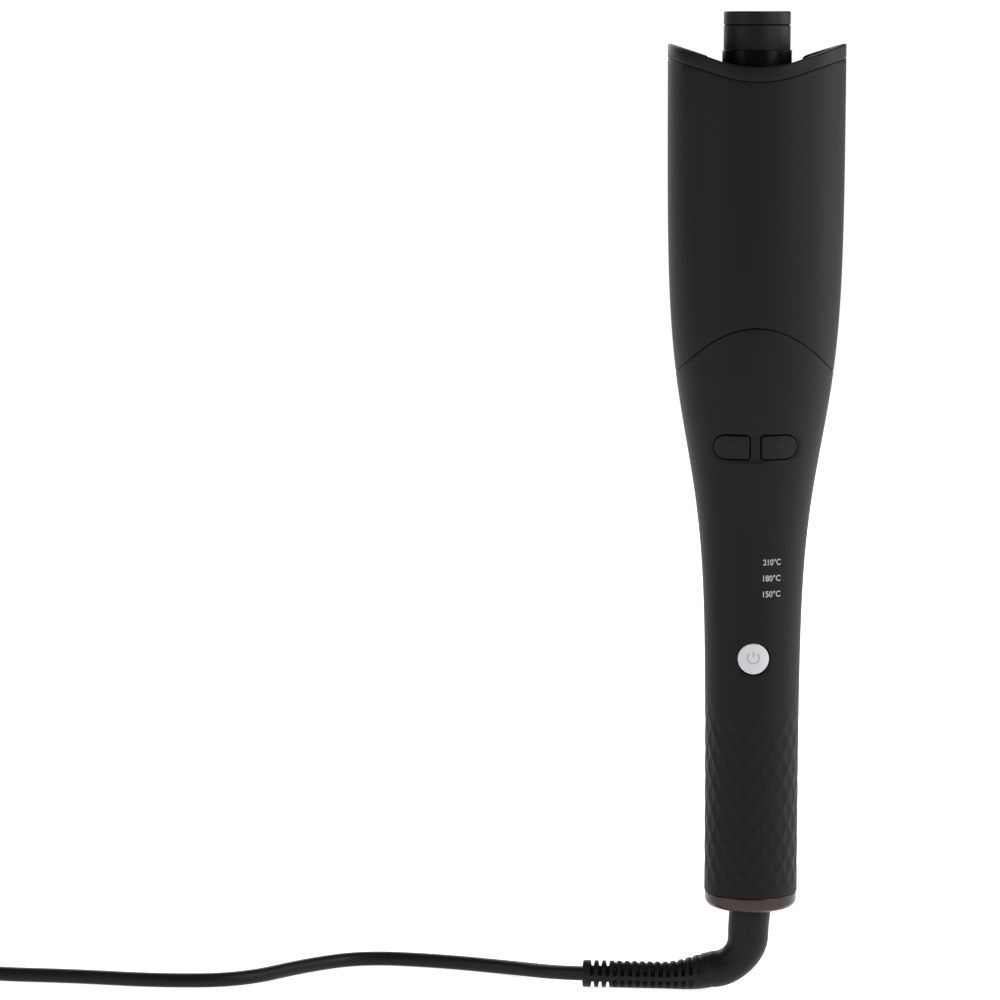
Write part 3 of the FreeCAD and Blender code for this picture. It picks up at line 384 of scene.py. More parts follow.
def rings_to_mesh(bm, rings, closed_ends=True):
    """Joins rings of the same count of points into a skin."""
    loops = [[bm.verts.new(point) for point in ring] for ring in rings]
    for low, high in zip(loops, loops[1:]):
        count = len(low)
        for i in range(count):
            j = (i + 1) % count
            bm.faces.new((low[i], low[j], high[j], high[i]))
    if closed_ends:
        bm.faces.new(list(reversed(loops[0])))
        bm.faces.new(loops[-1])


def rounded(corners, radii, steps=5):
    """An outline with its corners rounded; a radius of 0 keeps a corner sharp."""
    outline = []
    count = len(corners)
    for i, (corner, radius) in enumerate(zip(corners, radii)):
        here = Vector(corner)
        before, after = Vector(corners[i - 1]) - here, Vector(corners[(i + 1) % count]) - here
        if radius <= 0:
            outline.append(here)
            continue
        before.normalize()
        after.normalize()
        half = before.angle(after) / 2
        reach = radius / math.tan(half)
        centre = here + (before + after).normalized() * (radius / math.sin(half))
        start, end = here + before * reach - centre, here + after * reach - centre
        for k in range(steps + 1):
            outline.append(centre + start.lerp(end, k / steps).normalized() * start.length)
    return outline


def turned(name, material, corners, radii, segments):
    """A solid of revolution about Z from an outline of (radius, z) corners with rounded corners."""
    outline = rounded([(r, z, 0) for r, z in corners], radii)
    bm = bmesh.new()
    rings = []
    for i in range(segments):
        angle = TAU * i / segments
        rings.append([Vector((p.x * math.cos(angle), p.x * math.sin(angle), p.y)) for p in outline])
    rings_to_mesh(bm, rings + rings[:1], closed_ends=False)
    bmesh.ops.remove_doubles(bm, verts=bm.verts[:], dist=1e-7)
    return object_from(bm, name, material)


def shrink(outline, distance, u_scale):
    """Moves a closed (u, v) outline inwards, with its solid side on the left.

    u_scale(v) turns u into a length. The seam at the back, where u is half a turn, stays in place.
    """
    moved = []
    count = len(outline)
    for i, (u, v) in enumerate(outline):
        scale = u_scale(v)
        normals = []
        for (au, av), (bu, bv) in ((outline[i - 1], (u, v)), ((u, v), outline[(i + 1) % count])):
            along = Vector(((bu - au) * scale, bv - av)).normalized()
            normals.append(Vector((-along.y, along.x)))
        mitre = (normals[0] + normals[1]) / max(0.3, 1 + normals[0].dot(normals[1]))
        new_u = u if abs(abs(u) - math.pi) < 1e-9 else u + mitre.x * distance / scale
        moved.append((new_u, v + mitre.y * distance))
    return moved


def flat_sheet(outlines, u_lines, v_lines):
    """A flat sheet between closed outlines, cut along the lines of a grid."""
    bm = bmesh.new()
    for outline in outlines:
        loop = [bm.verts.new((u, v, 0)) for u, v in outline]
        for a, b in zip(loop, loop[1:] + loop[:1]):
            bm.edges.new((a, b))
    bmesh.ops.triangle_fill(bm, use_beauty=True, edges=bm.edges[:], normal=(0, 0, 1))
    for normal, lines in (((1, 0, 0), u_lines), ((0, 1, 0), v_lines)):
        for value in lines:
            bmesh.ops.bisect_plane(bm, geom=bm.verts[:] + bm.edges[:] + bm.faces[:], dist=1e-6,
                                   plane_co=Vector(normal) * value, plane_no=normal)
    for face in bm.faces:
        face.normal_update()
        if face.normal.z < 0:
            face.normal_flip()
    return bm


EDGE_STEPS = 3


def skin_solid(bm, place_point, inward, thickness, edge):
    """Makes a solid of a flat sheet: a curved skin with rounded edges, walls and an inner skin."""
    flat = {vert: vert.co.xy.copy() for vert in bm.verts}
    for vert, (u, v) in flat.items():
        vert.co = place_point(u, v)
    bmesh.ops.remove_doubles(bm, verts=bm.verts[:], dist=1e-7)
    skin = bm.verts[:]
    outer_faces = bm.faces[:]
    border_loops = [e.link_loops[0] for e in bm.edges if e.is_boundary]
    border = [(loop.vert, loop.link_loop_next.vert) for loop in border_loops]
    outward = {vert: [] for edge_pair in border for vert in edge_pair}
    for a, b in border:
        side = (b.co - a.co).cross(inward((a.co + b.co) / 2)).normalized()
        outward[a].append(-side)
        outward[b].append(-side)
    mitre = {v: sum(n, Vector()) / max(0.5, 1 + n[0].dot(n[-1])) for v, n in outward.items()}
    rings = []
    for k in range(1, EDGE_STEPS + 1):
        turn = math.pi / 2 * k / EDGE_STEPS
        rings.append({v: bm.verts.new(v.co + m * edge * math.sin(turn)
                                      + inward(v.co) * edge * (1 - math.cos(turn)))
                      for v, m in mitre.items()})
    rings.append({v: bm.verts.new(rings[-1][v].co + inward(v.co) * (thickness - edge)) for v in mitre})
    inner = {v: bm.verts.new(v.co + inward(v.co) * thickness) for v in skin}
    rings.append(inner)
    for a, b in border:
        low_a, low_b = a, b
        for ring in rings:
            bm.faces.new((low_b, low_a, ring[a], ring[b]))
            low_a, low_b = ring[a], ring[b]
    for face in outer_faces:
        bm.faces.new([inner[v] for v in reversed(face.verts)])
    return bm


def spread(low, high, step):
    """Evenly spaced values between two limits, without the limits themselves."""
    count = max(1, round((high - low) / step))
    return [low + (high - low) * i / count for i in range(1, count)]


# ---------------------------------------------------------------- housing and head

def d_outline(side, offset=0.0):
    """Outline of one D-shaped button in (x, z), counterclockwise."""
    steps = 16
    radius = BUTTON_HALF_H + offset
    round_x = BUTTON_X[1] - BUTTON_HALF_H
    inner_x = BUTTON_X[0] - offset
    corner = 0.9 * MM + offset
    points = []
    for k in range(steps + 1):
        turn = -math.pi / 2 + math.pi * k / steps
        points.append((round_x + radius * math.cos(turn), radius * math.sin(turn)))
    for centre_z, start in ((radius - corner, math.pi / 2), (corner - radius, math.pi)):
        for k in range(5):
            turn = start + math.pi / 2 * k / 4
            x = inner_x + corner + corner * math.cos(turn)
            points.append((x, centre_z + corner * math.sin(turn)))
    points = [(side * x, BUTTON_Z + z) for x, z in points]
    return points if side > 0 else points[::-1]


def circle_outline(radius, z):
    """Outline of a circle on the middle plane in (x, z), counterclockwise."""
    turns = [TAU * k / 64 for k in range(64)]
    return [(radius * math.cos(a), z + radius * math.sin(a)) for a in turns]


def to_angles(outline):
    """Turns an (x, z) outline on the front into (angle, z)."""
    return [(math.asin(x / body_radius(z)), z) for x, z in outline]


SHELL_EDGE = 0.3 * MM
SHROUD_EDGE = 0.5 * MM
JOINT_GAP = 0.14 * MM
FINE_Z = (128 * MM, 150 * MM)
SCREW_Z = (-33.0 * MM, 112.0 * MM)
SCREW_WELL_R = 2.8 * MM


def housing_half(name, node, middle):
    """One half of the housing; middle is the angle of its middle, 0 for the front."""
    low, high = middle - math.pi / 2, middle + math.pi / 2
    steps = 120
    outline = [(low + math.pi * k / steps, BODY_BOTTOM) for k in range(steps + 1)]
    outline += [(high - math.pi * k / steps, arch_z(high - math.pi * k / steps) - JOINT_GAP)
                for k in range(steps + 1)]
    outlines = [shrink(outline, SHELL_EDGE, body_radius)]
    if middle == 0:
        holes = [d_outline(side, BUTTON_GAP) for side in (-1, 1)]
        holes.append(circle_outline(POWER_R + BUTTON_GAP, POWER_Z))
        outlines += [shrink(to_angles(hole)[::-1], SHELL_EDGE, body_radius) for hole in holes]
    else:
        for screw_z in SCREW_Z:
            well = [(math.pi + x / body_radius(z), z) for x, z in circle_outline(SCREW_WELL_R, screw_z)]
            outlines.append(shrink(well[::-1], SHELL_EDGE, body_radius))
    v_lines = spread(BODY_BOTTOM, GRIP_RANGE[1], 0.8 * MM) + spread(GRIP_RANGE[1], FINE_Z[0], 3.5 * MM)
    v_lines += spread(*FINE_Z, 0.7 * MM) + spread(FINE_Z[1], ARCH_TOP, 2.5 * MM)
    bm = flat_sheet(outlines, spread(low, high, math.radians(1.25)), v_lines)
    skin_solid(bm, on_housing, into_housing, WALL, SHELL_EDGE)
    place(object_from(bm, name, "soft_touch_plastic"), "housing", "soft_touch_plastic", node)


def head_shroud():
    """The wide upper shell, open at the back above the sill of the hair slot."""
    steps = 220
    angles = [-math.pi + TAU * k / steps for k in range(steps + 1)]
    outline = [(a, arch_z(a) + JOINT_GAP) for a in angles]
    corner = SILL_CORNER
    turn = corner / body_radius(SILL_Z)
    right = [(math.pi, SILL_Z), (CHEEK_ANGLE + turn, SILL_Z)]
    for k in range(1, 7):
        bend = math.pi / 2 * k / 6
        angle = CHEEK_ANGLE + turn * (1 - math.sin(bend))
        right.append((angle, SILL_Z + corner * (1 - math.cos(bend))))
    top_steps = 160
    top = [CHEEK_ANGLE - 2 * CHEEK_ANGLE * k / top_steps for k in range(top_steps + 1)]
    rim = [(a, rim_z(body_radius(RIM_SIDE_Z) * math.sin(a)) - RIM_BAND) for a in top]
    left = [(-a, z) for a, z in reversed(right)]
    outlines = [shrink(outline + right + rim + left, SHROUD_EDGE, body_radius)]
    bm = flat_sheet(outlines, spread(-math.pi, math.pi, math.radians(2)),
                    spread(150 * MM, 300 * MM, 4 * MM))
    skin_solid(bm, on_body, under_rim(WALL), WALL, SHROUD_EDGE)
    piece = object_from(bm, "head_shell", "soft_touch_plastic")
    place(piece, "housing", "soft_touch_plastic", "head_shroud")


BAND_CORNER = 2.6 * MM


def band_top(angle):
    """Height of the band's top edge, rounded down at its two ends beside the slot."""
    radius = body_radius(RIM_SIDE_Z)
    share = max(0, 1 - (SLOT_ANGLE - abs(angle)) * radius / BAND_CORNER)
    return rim_z(radius * math.sin(angle)) - BAND_CORNER * (1 - math.sqrt(1 - share ** 2))


def rim_band():
    """Trim round the mouth, following its shallow V."""
    steps = 420
    edge = 0.8 * MM
    angles = [-SLOT_ANGLE + 2 * SLOT_ANGLE * k / steps for k in range(steps + 1)]
    radius = body_radius(RIM_SIDE_Z)
    top = [(a, band_top(a)) for a in reversed(angles)]
    bottom = [(a, rim_z(radius * math.sin(a)) - RIM_BAND) for a in angles]
    bm = flat_sheet([shrink(bottom + top, edge, body_radius)],
                    spread(-SLOT_ANGLE, SLOT_ANGLE, math.radians(2)), [])
    band_wall = radius - LINER_R_TOP
    skin_solid(bm, on_body, under_rim(band_wall), band_wall, edge)
    place(object_from(bm, "mouth_rim", "rim_plastic"), "housing", "rim_plastic", "rim_band")


def liner_radius(z):
    """Inner radius of the chamber's liner at height z."""
    share = (z - CHAMBER_FLOOR) / (RIM_SIDE_Z - CHAMBER_FLOOR)
    return LINER_R_LOW + (LINER_R_TOP - LINER_R_LOW) * share


def slot_cheek(side, node):
    """The rounded lip beside the hair slot, from the liner to the shroud."""
    bm = bmesh.new()
    inner_angle, outer_angle = CHEEK_ANGLE, SLOT_ANGLE
    rings = []
    steps = 40
    radius = body_radius(RIM_SIDE_Z)
    top = rim_z(radius * math.sin(SLOT_ANGLE)) - RIM_BAND
    for k in range(steps + 1):
        z = SILL_Z + (top - SILL_Z) * k / steps
        near, far = liner_radius(z), body_radius(z)
        middle = (near + far) / 2
        half_r = (far - near) / 2
        corners = []
        for radial, angle in ((-half_r, inner_angle), (half_r, inner_angle), (half_r, outer_angle),
                              (-half_r, outer_angle)):
            corners.append(round_point(middle + radial, side * angle, z))
        rings.append(rounded(corners, (0.3 * MM, 0.3 * MM, 1.0 * MM, 1.0 * MM), 4))
    rings_to_mesh(bm, rings)
    name = "slot_lip_" + ("right" if side > 0 else "left")
    place(object_from(bm, name, "rim_plastic"), "housing", "rim_plastic", node)


# ---------------------------------------------------------------- buttons

CAP_THICKNESS = 3.2 * MM
CAP_EDGE = 0.5 * MM
BUTTON_STEM_END = -20.8 * MM
POWER_STEM_END = -15.8 * MM


def front_point(x, z):
    """The point on the front of the body at (x, z)."""
    return Vector((x, -math.sqrt(body_radius(z) ** 2 - x ** 2), z))


def cap(name, material, outline, step):
    """A push-button cap: a curved face with rounded edges and walls that run straight back."""
    xs, zs = [x for x, _ in outline], [z for _, z in outline]
    bm = flat_sheet([shrink(outline, CAP_EDGE, lambda _z: 1.0)], spread(min(xs), max(xs), step),
                    spread(min(zs), max(zs), step))
    skin_solid(bm, front_point, towards_back, CAP_THICKNESS, CAP_EDGE)
    return object_from(bm, name, material)


def stem(name, material, x, z, radius, start, end):
    """The round stem behind a button's cap."""
    bm = bmesh.new()
    turns = [TAU * k / 32 for k in range(32)]
    rings = []
    for r, y in ((radius, start), (radius, end - 0.2 * MM), (radius - 0.2 * MM, end)):
        rings.append([Vector((x + r * math.cos(a), y, z + r * math.sin(a))) for a in turns])
    rings_to_mesh(bm, rings)
    return object_from(bm, name, material)


def d_button(side, body):
    """One of the two D-shaped buttons, with its stem."""
    piece = cap(body + "_cap", "button_plastic", d_outline(side), 1.0 * MM)
    place(piece, body, "button_plastic", body)
    middle = side * (BUTTON_X[0] + BUTTON_X[1]) / 2
    start = BUTTON_STEM_END - 2.5 * MM
    piece = stem(body + "_stem", "button_plastic", middle, BUTTON_Z, 1.8 * MM, start, BUTTON_STEM_END)
    place(piece, body, "button_plastic")


def power_button():
    """The round button below the D-shaped ones, with its stem."""
    outline = circle_outline(POWER_R, POWER_Z)
    piece = cap("power_cap", "white_plastic", outline, 0.9 * MM)
    place(piece, "power_button", "white_plastic", "power_button")
    start = POWER_STEM_END - 2 * MM
    piece = stem("power_stem", "white_plastic", 0, POWER_Z, 2.0 * MM, start, POWER_STEM_END)
    place(piece, "power_button", "white_plastic")


# ---------------------------------------------------------------- printing

PRINT_PROUD = 0.04 * MM
PRINT_DEPTH = 0.1 * MM


def printed_point(x, z, lift):
    """A point on the front of the body, lifted off it or sunk into it."""
    radius = body_radius(z) + lift
    return Vector((x, -math.sqrt(radius ** 2 - x ** 2), z))


def stroke(bm, line, width):
    """A thin printed line along (x, z) points on the front of the body."""
    rings = []
    for i, (x, z) in enumerate(line):
        before, after = line[max(0, i - 1)], line[min(len(line) - 1, i + 1)]
        along = Vector((after[0] - before[0], after[1] - before[1])).normalized() * (width / 2)
        left, right = (x - along.y, z + along.x), (x + along.y, z - along.x)
        rings.append([printed_point(*left, PRINT_PROUD), printed_point(*right, PRINT_PROUD),
                      printed_point(*right, -PRINT_DEPTH), printed_point(*left, -PRINT_DEPTH)])
    rings_to_mesh(bm, rings)


def power_symbol():
    """A broken ring with a bar in its gap."""
    ring_r, line, centre_z = 2.35 * MM, 0.6 * MM, POWER_Z + 0.5 * MM
    gap = math.radians(42)
    bm = bmesh.new()
    turns = [gap + (TAU - 2 * gap) * k / 48 for k in range(49)]
    stroke(bm, [(ring_r * math.sin(a), centre_z + ring_r * math.cos(a)) for a in turns], line)
    stroke(bm, [(0, centre_z + 2.65 * MM - 0.6 * MM * k) for k in range(5)], line)
    place(object_from(bm, "power_symbol", "symbol_grey"), "power_button", "white_plastic")


def arrow(side, body):
    """A faint arrow that points outwards on a button's cap."""
    tail_x, tip_x, head, line = side * 5.6 * MM, side * 11.6 * MM, 1.3 * MM, 0.42 * MM
    bm = bmesh.new()
    stroke(bm, [(tail_x + (tip_x - tail_x) * k / 8, BUTTON_Z) for k in range(9)], line)
    for way in (-1, 1):
        barb = [(tip_x - side * head * k / 3, BUTTON_Z + way * head * k / 3) for k in range(4)]
        stroke(bm, barb, line)
    place(object_from(bm, body + "_arrow", "arrow_grey"), body, "button_plastic")


TEMPERATURES = (("210\u00b0C", 92.2 * MM), ("180\u00b0C", 85.6 * MM), ("150\u00b0C", 79.1 * MM))


def temperature(words, z):
    """A printed temperature, wrapped round the front of the grip."""
    name = "print_" + words[:3]
    middle_x, width, height = 7.2 * MM, 7.1 * MM, 2.6 * MM
    letters = bpy.data.curves.new(name, "FONT")
    letters.body = words
    letters.extrude = 0.01
    letters.offset = 0.012
    holder = bpy.data.objects.new(name, letters)
    mesh = bpy.data.meshes.new_from_object(holder)
    bpy.data.objects.remove(holder)
    xs, ys = [v.co.x for v in mesh.vertices], [v.co.y for v in mesh.vertices]
    for vert in mesh.vertices:
        x = middle_x + width * ((vert.co.x - min(xs)) / (max(xs) - min(xs)) - 0.5)
        level = z + height * ((vert.co.y - min(ys)) / (max(ys) - min(ys)) - 0.5)
        vert.co = printed_point(x, level, PRINT_PROUD if vert.co.z > 0 else -PRINT_DEPTH)
    mesh.materials.clear()
    mesh.materials.append(MATERIALS["print_grey"])
    piece = bpy.data.objects.new(name, mesh)
    bpy.context.scene.collection.objects.link(piece)
    place(piece, "housing", "light_white")


# ---------------------------------------------------------------- barrel

def barrel_pieces():
    """The heated tube and the two parts of the cool tip."""
    low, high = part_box("heated_barrel")
    outer = high.x
    inner = outer - 1.5 * MM
    corners = ((inner, low.z), (outer, low.z), (outer, high.z), (inner, high.z))
    radii = (0.1 * MM, 0.1 * MM, 0.25 * MM, 0.1 * MM)
    piece = turned("barrel_tube", "ceramic_black", corners, radii, 256)
    place(piece, "barrel", "ceramic_black", "heated_barrel")
    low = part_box("tip_sleeve")[0]
    tip_r = 13.45 * MM
    joint = 307.5 * MM
    step_z = 297.5 * MM
    corners = ((9 * MM, low.z), (12.5 * MM, low.z), (12.5 * MM, step_z), (tip_r, step_z),
               (tip_r, joint - 0.3 * MM), (tip_r - 0.6 * MM, joint), (9 * MM, joint))
    radii = (0, 0, 0, 0.2 * MM, 0.15 * MM, 0.05 * MM, 0)
    piece = turned("tip_collar", "tip_plastic", corners, radii, 256)
    place(piece, "barrel", "tip_plastic", "tip_sleeve")
    low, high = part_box("tip_cap")
    corners = ((0, low.z), (9 * MM, low.z), (9 * MM, joint), (tip_r - 0.6 * MM, joint),
               (tip_r, joint + 0.3 * MM), (tip_r, high.z), (0, high.z))
    radii = (0, 0.3 * MM, 0, 0.05 * MM, 0.15 * MM, 0.6 * MM, 0)
    piece = turned("end_cap", "tip_plastic", corners, radii, 256)
    place(piece, "barrel", "tip_plastic", "tip_cap")


# ---------------------------------------------------------------- ring and strain relief

def bottom_ring():
    """The metallic trim ring with its spigot inside the housing."""
    low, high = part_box("bottom_ring")
    outer = 18.8 * MM
    spigot, spigot_in = 16.85 * MM, 14.8 * MM
    ring_top = -47.2 * MM
    bore = 7.1 * MM
    web_top = low.z + 4 * MM
    corners = ((bore, low.z), (outer, low.z), (outer, ring_top), (spigot, ring_top), (spigot, high.z),
               (spigot_in, high.z), (spigot_in, web_top), (bore, web_top))
    radii = (0.3 * MM, 3.1 * MM, 0.4 * MM, 0, 0.3 * MM, 0.3 * MM, 0, 0.3 * MM)
    piece = turned("trim_ring", "rose_gunmetal", corners, radii, 256)
    place(piece, "housing", "rose_gunmetal", "bottom_ring")


RELIEF_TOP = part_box("strain_relief")[1].z
RELIEF_R = 8.6 * MM
BEND_Z = -65.6 * MM
BEND_R = 15.5 * MM
BEND_TUBE = 7.5 * MM
SHAFT_TUBE = 8.4 * MM
BEND_PINCH = 0.5 * MM
SHAFT_LEAN = -0.8 * MM
KNEE_X = -37.0 * MM
LOW_Z = -84.2 * MM
END_X = -69.2 * MM
END_R = 5.55 * MM
RELIEF_YAW = math.radians(-3)
RIB_START = -16.84 * MM
RIB_PITCH = 3.16 * MM
RIB_COUNT = 16
RIB_GAP = 1.9 * MM
RIB_FLANK = 0.6 * MM
RIB_DEPTH = 2.2 * MM
DEEP_RIBS = 3
SPINE_TILT = 0.08


def relief_axis(x):
    """Height of the elbow's centre line past the bend."""
    share = min(1.0, (x + BEND_R) / (KNEE_X + BEND_R))
    return BEND_Z - BEND_R + (LOW_Z - BEND_Z + BEND_R) * math.sin(share * math.pi / 2)


def relief_radius(x):
    """Radius of the elbow past the bend."""
    share = min(1.0, (x + BEND_R) / (KNEE_X + BEND_R))
    return END_R + (BEND_TUBE - END_R) * (1 + math.cos(share * math.pi)) / 2


def strain_relief():
    """Ribbed rubber elbow: slots between the ribs leave a spine along each side.

    The slots near the cord are as deep on top as below. The others are shallow on top, end above the
    floor and fade out towards the elbow.
    """
    sides = 96
    rings = []

    def ring(centre, normal_x, normal_z, radius, depth_at=None):
        points = []
        for k in range(sides):
            turn = TAU * k / sides
            r = radius - (depth_at(math.sin(turn)) if depth_at else 0.0)
            points.append(centre + Vector((r * math.sin(turn) * normal_z, r * math.cos(turn),
                                           -r * math.sin(turn) * normal_x)))
        rings.append(points)

    def slot_depth(number, profile):
        """Depth of a slot as a function of the sine of the turn, which is negative on top."""
        full = number >= RIB_COUNT - DEEP_RIBS
        fade_top, fade_low = ease((number + 0.7) / 4), ease((number - 0.5) / 2.5)

        def depth(sine):
            height = -sine
            clear = ease((abs(height + SPINE_TILT) - 0.17) / 0.09)
            if full:
                return RIB_DEPTH * profile * clear
            edge = 0.3 if height > 0 else 0.0
            fade = fade_top if height > 0 else fade_low
            shape = 1 - (1 - edge) * ease((abs(height) - 0.45) / 0.5)
            return RIB_DEPTH * profile * clear * fade * shape
        return depth

    top = RELIEF_TOP
    for z, inset in ((top, 1.2), (top, 0.4), (top - 0.15 * MM, 0.1), (top - 0.5 * MM, 0.0)):
        ring(Vector((0, 0, z)), 0, 1, RELIEF_R - inset * MM)
    for z, inset, lean in ((-58 * MM, 0.05, 0.4), (-62 * MM, 0.15, 0.8)):
        ring(Vector((lean * SHAFT_LEAN, 0, z)), 0, 1, RELIEF_R - inset * MM)
    for k in range(25):
        turn = math.pi / 2 * k / 24
        pinch = BEND_PINCH * math.sin(2 * turn) ** 2
        centre = Vector(((BEND_R - pinch / 2) * math.cos(turn) - BEND_R + SHAFT_LEAN * (1 - k / 24), 0,
                         BEND_Z - (BEND_R - pinch / 2) * math.sin(turn)))
        radius = SHAFT_TUBE + (BEND_TUBE - SHAFT_TUBE) * ease(k / 24) - pinch
        ring(centre, math.sin(turn), math.cos(turn), radius)
    x = -BEND_R - 0.4 * MM
    step = RIB_PITCH / 24
    while x > END_X + 0.4 * MM:
        number, within = divmod(RIB_START - x, RIB_PITCH)
        depth_at = None
        if 0 <= number < RIB_COUNT and within < RIB_GAP:
            profile = ease(within / RIB_FLANK) * ease((RIB_GAP - within) / RIB_FLANK)
            depth_at = slot_depth(number, profile)
        ring(Vector((x, 0, relief_axis(x))), 1, 0, relief_radius(x), depth_at)
        x -= step
    for dx, inset in ((0.35, 0.05), (0.1, 0.2), (0.0, 0.45), (0.0, 2.0)):
        ring(Vector((END_X + dx * MM, 0, LOW_Z)), 1, 0, END_R - inset * MM)
    bm = bmesh.new()
    rings_to_mesh(bm, rings)
    for vert in bm.verts:
        x, y = vert.co.x, vert.co.y
        vert.co.x = x * math.cos(RELIEF_YAW) - y * math.sin(RELIEF_YAW)
        vert.co.y = x * math.sin(RELIEF_YAW) + y * math.cos(RELIEF_YAW)
    piece = object_from(bm, "cord_guard", "black_rubber", 50)
    place(piece, "swivel_cord", "black_rubber", "strain_relief")


# ---------------------------------------------------------------- cord and plug

CORD_D = 6.0 * MM
CORD_Z = FLOOR_Z + CORD_D / 2
CORD_ROUTE = [
    (-0.0675, 0.0035, -0.0842),
    (-0.0795, 0.0080, -0.0852),
    (-0.0980, 0.0220, -0.0868),
    (-0.1300, 0.0334, -0.0868),
    (-0.1630, 0.0386, -0.0868),
    (-0.1860, 0.0240, -0.0868),
    (-0.2110, -0.0030, -0.0868),
    (-0.2450, -0.0055, -0.0868),
    (-0.2820, 0.0010, -0.0868),
    (-0.3130, 0.0030, -0.0868),
    (-0.3370, 0.0095, -0.0868),
    (-0.3540, 0.0163, -0.0868),
]
TAIL_ROUTE = [
    (-0.3880, 0.0169, -0.0807),
    (-0.3960, 0.0167, -0.0807),
    (-0.4090, 0.0159, -0.0821),
    (-0.4230, 0.0158, -0.0829),
]
COIL_CENTRE = (-0.3748, -0.0218)
TURN_R = 32.5 * MM
TURN_POINTS = 20
LANES = (1.5, 0.5, -0.5, -1.5, -1.0, 0.0, 1.0)
LOW_TURNS = 4


def coil_points():
    """Centre line of the turns: four side by side from the outside in, then three in their grooves.

    Turns change lane in the last fifth of the way round, where the upper ones lie a little higher; the
    fourth one climbs before that.
    """
    pitch = CORD_D * 1.03
    groove = math.sqrt(3) / 2
    points = []
    for i in range(len(LANES) * TURN_POINTS + 1):
        turn, part = divmod(i, TURN_POINTS)
        share = part / TURN_POINTS
        turn = min(turn, len(LANES) - 1)
        lane, level = LANES[turn], 0.0 if turn < LOW_TURNS else groove
        if i == len(LANES) * TURN_POINTS:
            share = 1.0
        elif turn == LOW_TURNS - 1:
            climb = math.pi * (1 - ease((share - 0.55) / 0.25) / 3)
            lane, level = lane + 1 + math.cos(climb), math.sin(climb)
        elif turn < len(LANES) - 1:
            lane += (LANES[turn + 1] - lane) * ease((share - 0.8) / 0.2)
        if turn >= LOW_TURNS - 1:
            level += 0.15 * ease(1 - min(abs(share - 0.9), abs(share + 0.1)) / 0.2)
        angle = math.pi / 2 + TAU * share
        radius = TURN_R + lane * pitch
        x, y = COIL_CENTRE[0] + radius * math.cos(angle), COIL_CENTRE[1] + radius * math.sin(angle)
        points.append((x, y, CORD_Z + level * pitch))
    return points


def cord():
    """The mains cord as a curve: from the elbow to the coil, round it and on to the plug."""
    points = CORD_ROUTE + coil_points() + TAIL_ROUTE
    curve = bpy.data.curves.new("mains_cord", "CURVE")
    curve.dimensions = "3D"
    curve.bevel_depth = CORD_D / 2
    curve.bevel_resolution = 6
    curve.resolution_u = 10
    curve.use_fill_caps = True
    line = curve.splines.new("NURBS")
    line.points.add(len(points) - 1)
    for point, (x, y, z) in zip(line.points, points):
        point.co = (x, y, z, 1)
    line.order_u = 3
    line.use_endpoint_u = True
    piece = bpy.data.objects.new("mains_cord", curve)
    curve.materials.append(MATERIALS["pvc_black"])
    bpy.context.scene.collection.objects.link(piece)
    place(piece, "swivel_cord", "pvc_black", "cord", "cord_tail", "cord_coil")


PLUG_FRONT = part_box("plug_body")[1].x
PLUG_LENGTH = 36.0 * MM
PLUG_HALF_W = 17.65 * MM
PLUG_HALF_H = 6.9 * MM
PLUG_EDGE = 1.1 * MM
PLUG_Y = (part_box("plug_body")[0].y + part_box("plug_body")[1].y) / 2
PLUG_Z = FLOOR_Z + PLUG_HALF_H
NECK_R = 4.6 * MM
NECK_RIDGES = (1 * MM, 9.5 * MM)
RIDGE_PITCH = 2.2 * MM
FINGER_GROOVES = (21 * MM, 31.4 * MM)
GROOVE_PITCH = 2.6 * MM
GROOVE_DEPTH = 0.55 * MM
PIN_SPACING = 18.6 * MM
PIN_LENGTH = 19.0 * MM


def plug_body():
    """Flat moulded plug: a ribbed neck that widens to a body with finger grooves."""
    sides = 72
    step = 0.25 * MM
    rings = []
    for k in range(round(PLUG_LENGTH / step) + 1):
        along = k * step
        wide = ease((along - 9 * MM) / (17 * MM))
        width = NECK_R + (PLUG_HALF_W - NECK_R) * wide
        height = NECK_R + (PLUG_HALF_H - NECK_R) * ease((along - 6 * MM) / (16 * MM))
        start, end = NECK_RIDGES
        neck = ease((end - along) / (1 * MM)) * ease((along - start) / (0.5 * MM))
        ridge = math.sin(math.pi * along / RIDGE_PITCH) ** 2
        start, end = FINGER_GROOVES
        groove = ease((along - start) / (1 * MM)) * ease((end - along) / (1 * MM))
        furrow = math.sin(math.pi * (along - start) / GROOVE_PITCH) ** 2
        edge = min(along, PLUG_LENGTH - along)
        drop = PLUG_EDGE - math.sqrt(max(0.0, PLUG_EDGE ** 2 - max(0.0, PLUG_EDGE - edge) ** 2))
        ring = []
        for j in range(sides):
            turn = TAU * j / sides
            cosine, sine = math.cos(turn), math.sin(turn)
            flat = 2 / (2 + 2.2 * wide)
            y = math.copysign(abs(cosine) ** flat, cosine) * (width - drop)
            z = math.copysign(abs(sine) ** flat, sine) * (height - drop)
            shrink_by = 1 - neck * ridge * 0.17
            dent = groove * furrow * GROOVE_DEPTH * ease((abs(sine) - 0.35) / 0.3)
            z -= math.copysign(min(abs(z), dent), z)
            ring.append(Vector((PLUG_FRONT - along, PLUG_Y + y * shrink_by, PLUG_Z + z * shrink_by)))
        rings.append(ring)
    bm = bmesh.new()
    rings_to_mesh(bm, rings)
    place(object_from(bm, "plug_shell", "plug_plastic", 50), "swivel_cord", "plug_plastic", "plug_body")


def along_plug(piece, y):
    """Lays a piece turned about Z along the plug's -X direction, at a height along its axis."""
    for vert in piece.data.vertices:
        x, depth, z = vert.co
        vert.co = (PLUG_FRONT - PLUG_LENGTH - z, PLUG_Y + y + x, PLUG_Z + depth)
    piece.data.flip_normals()
    return piece


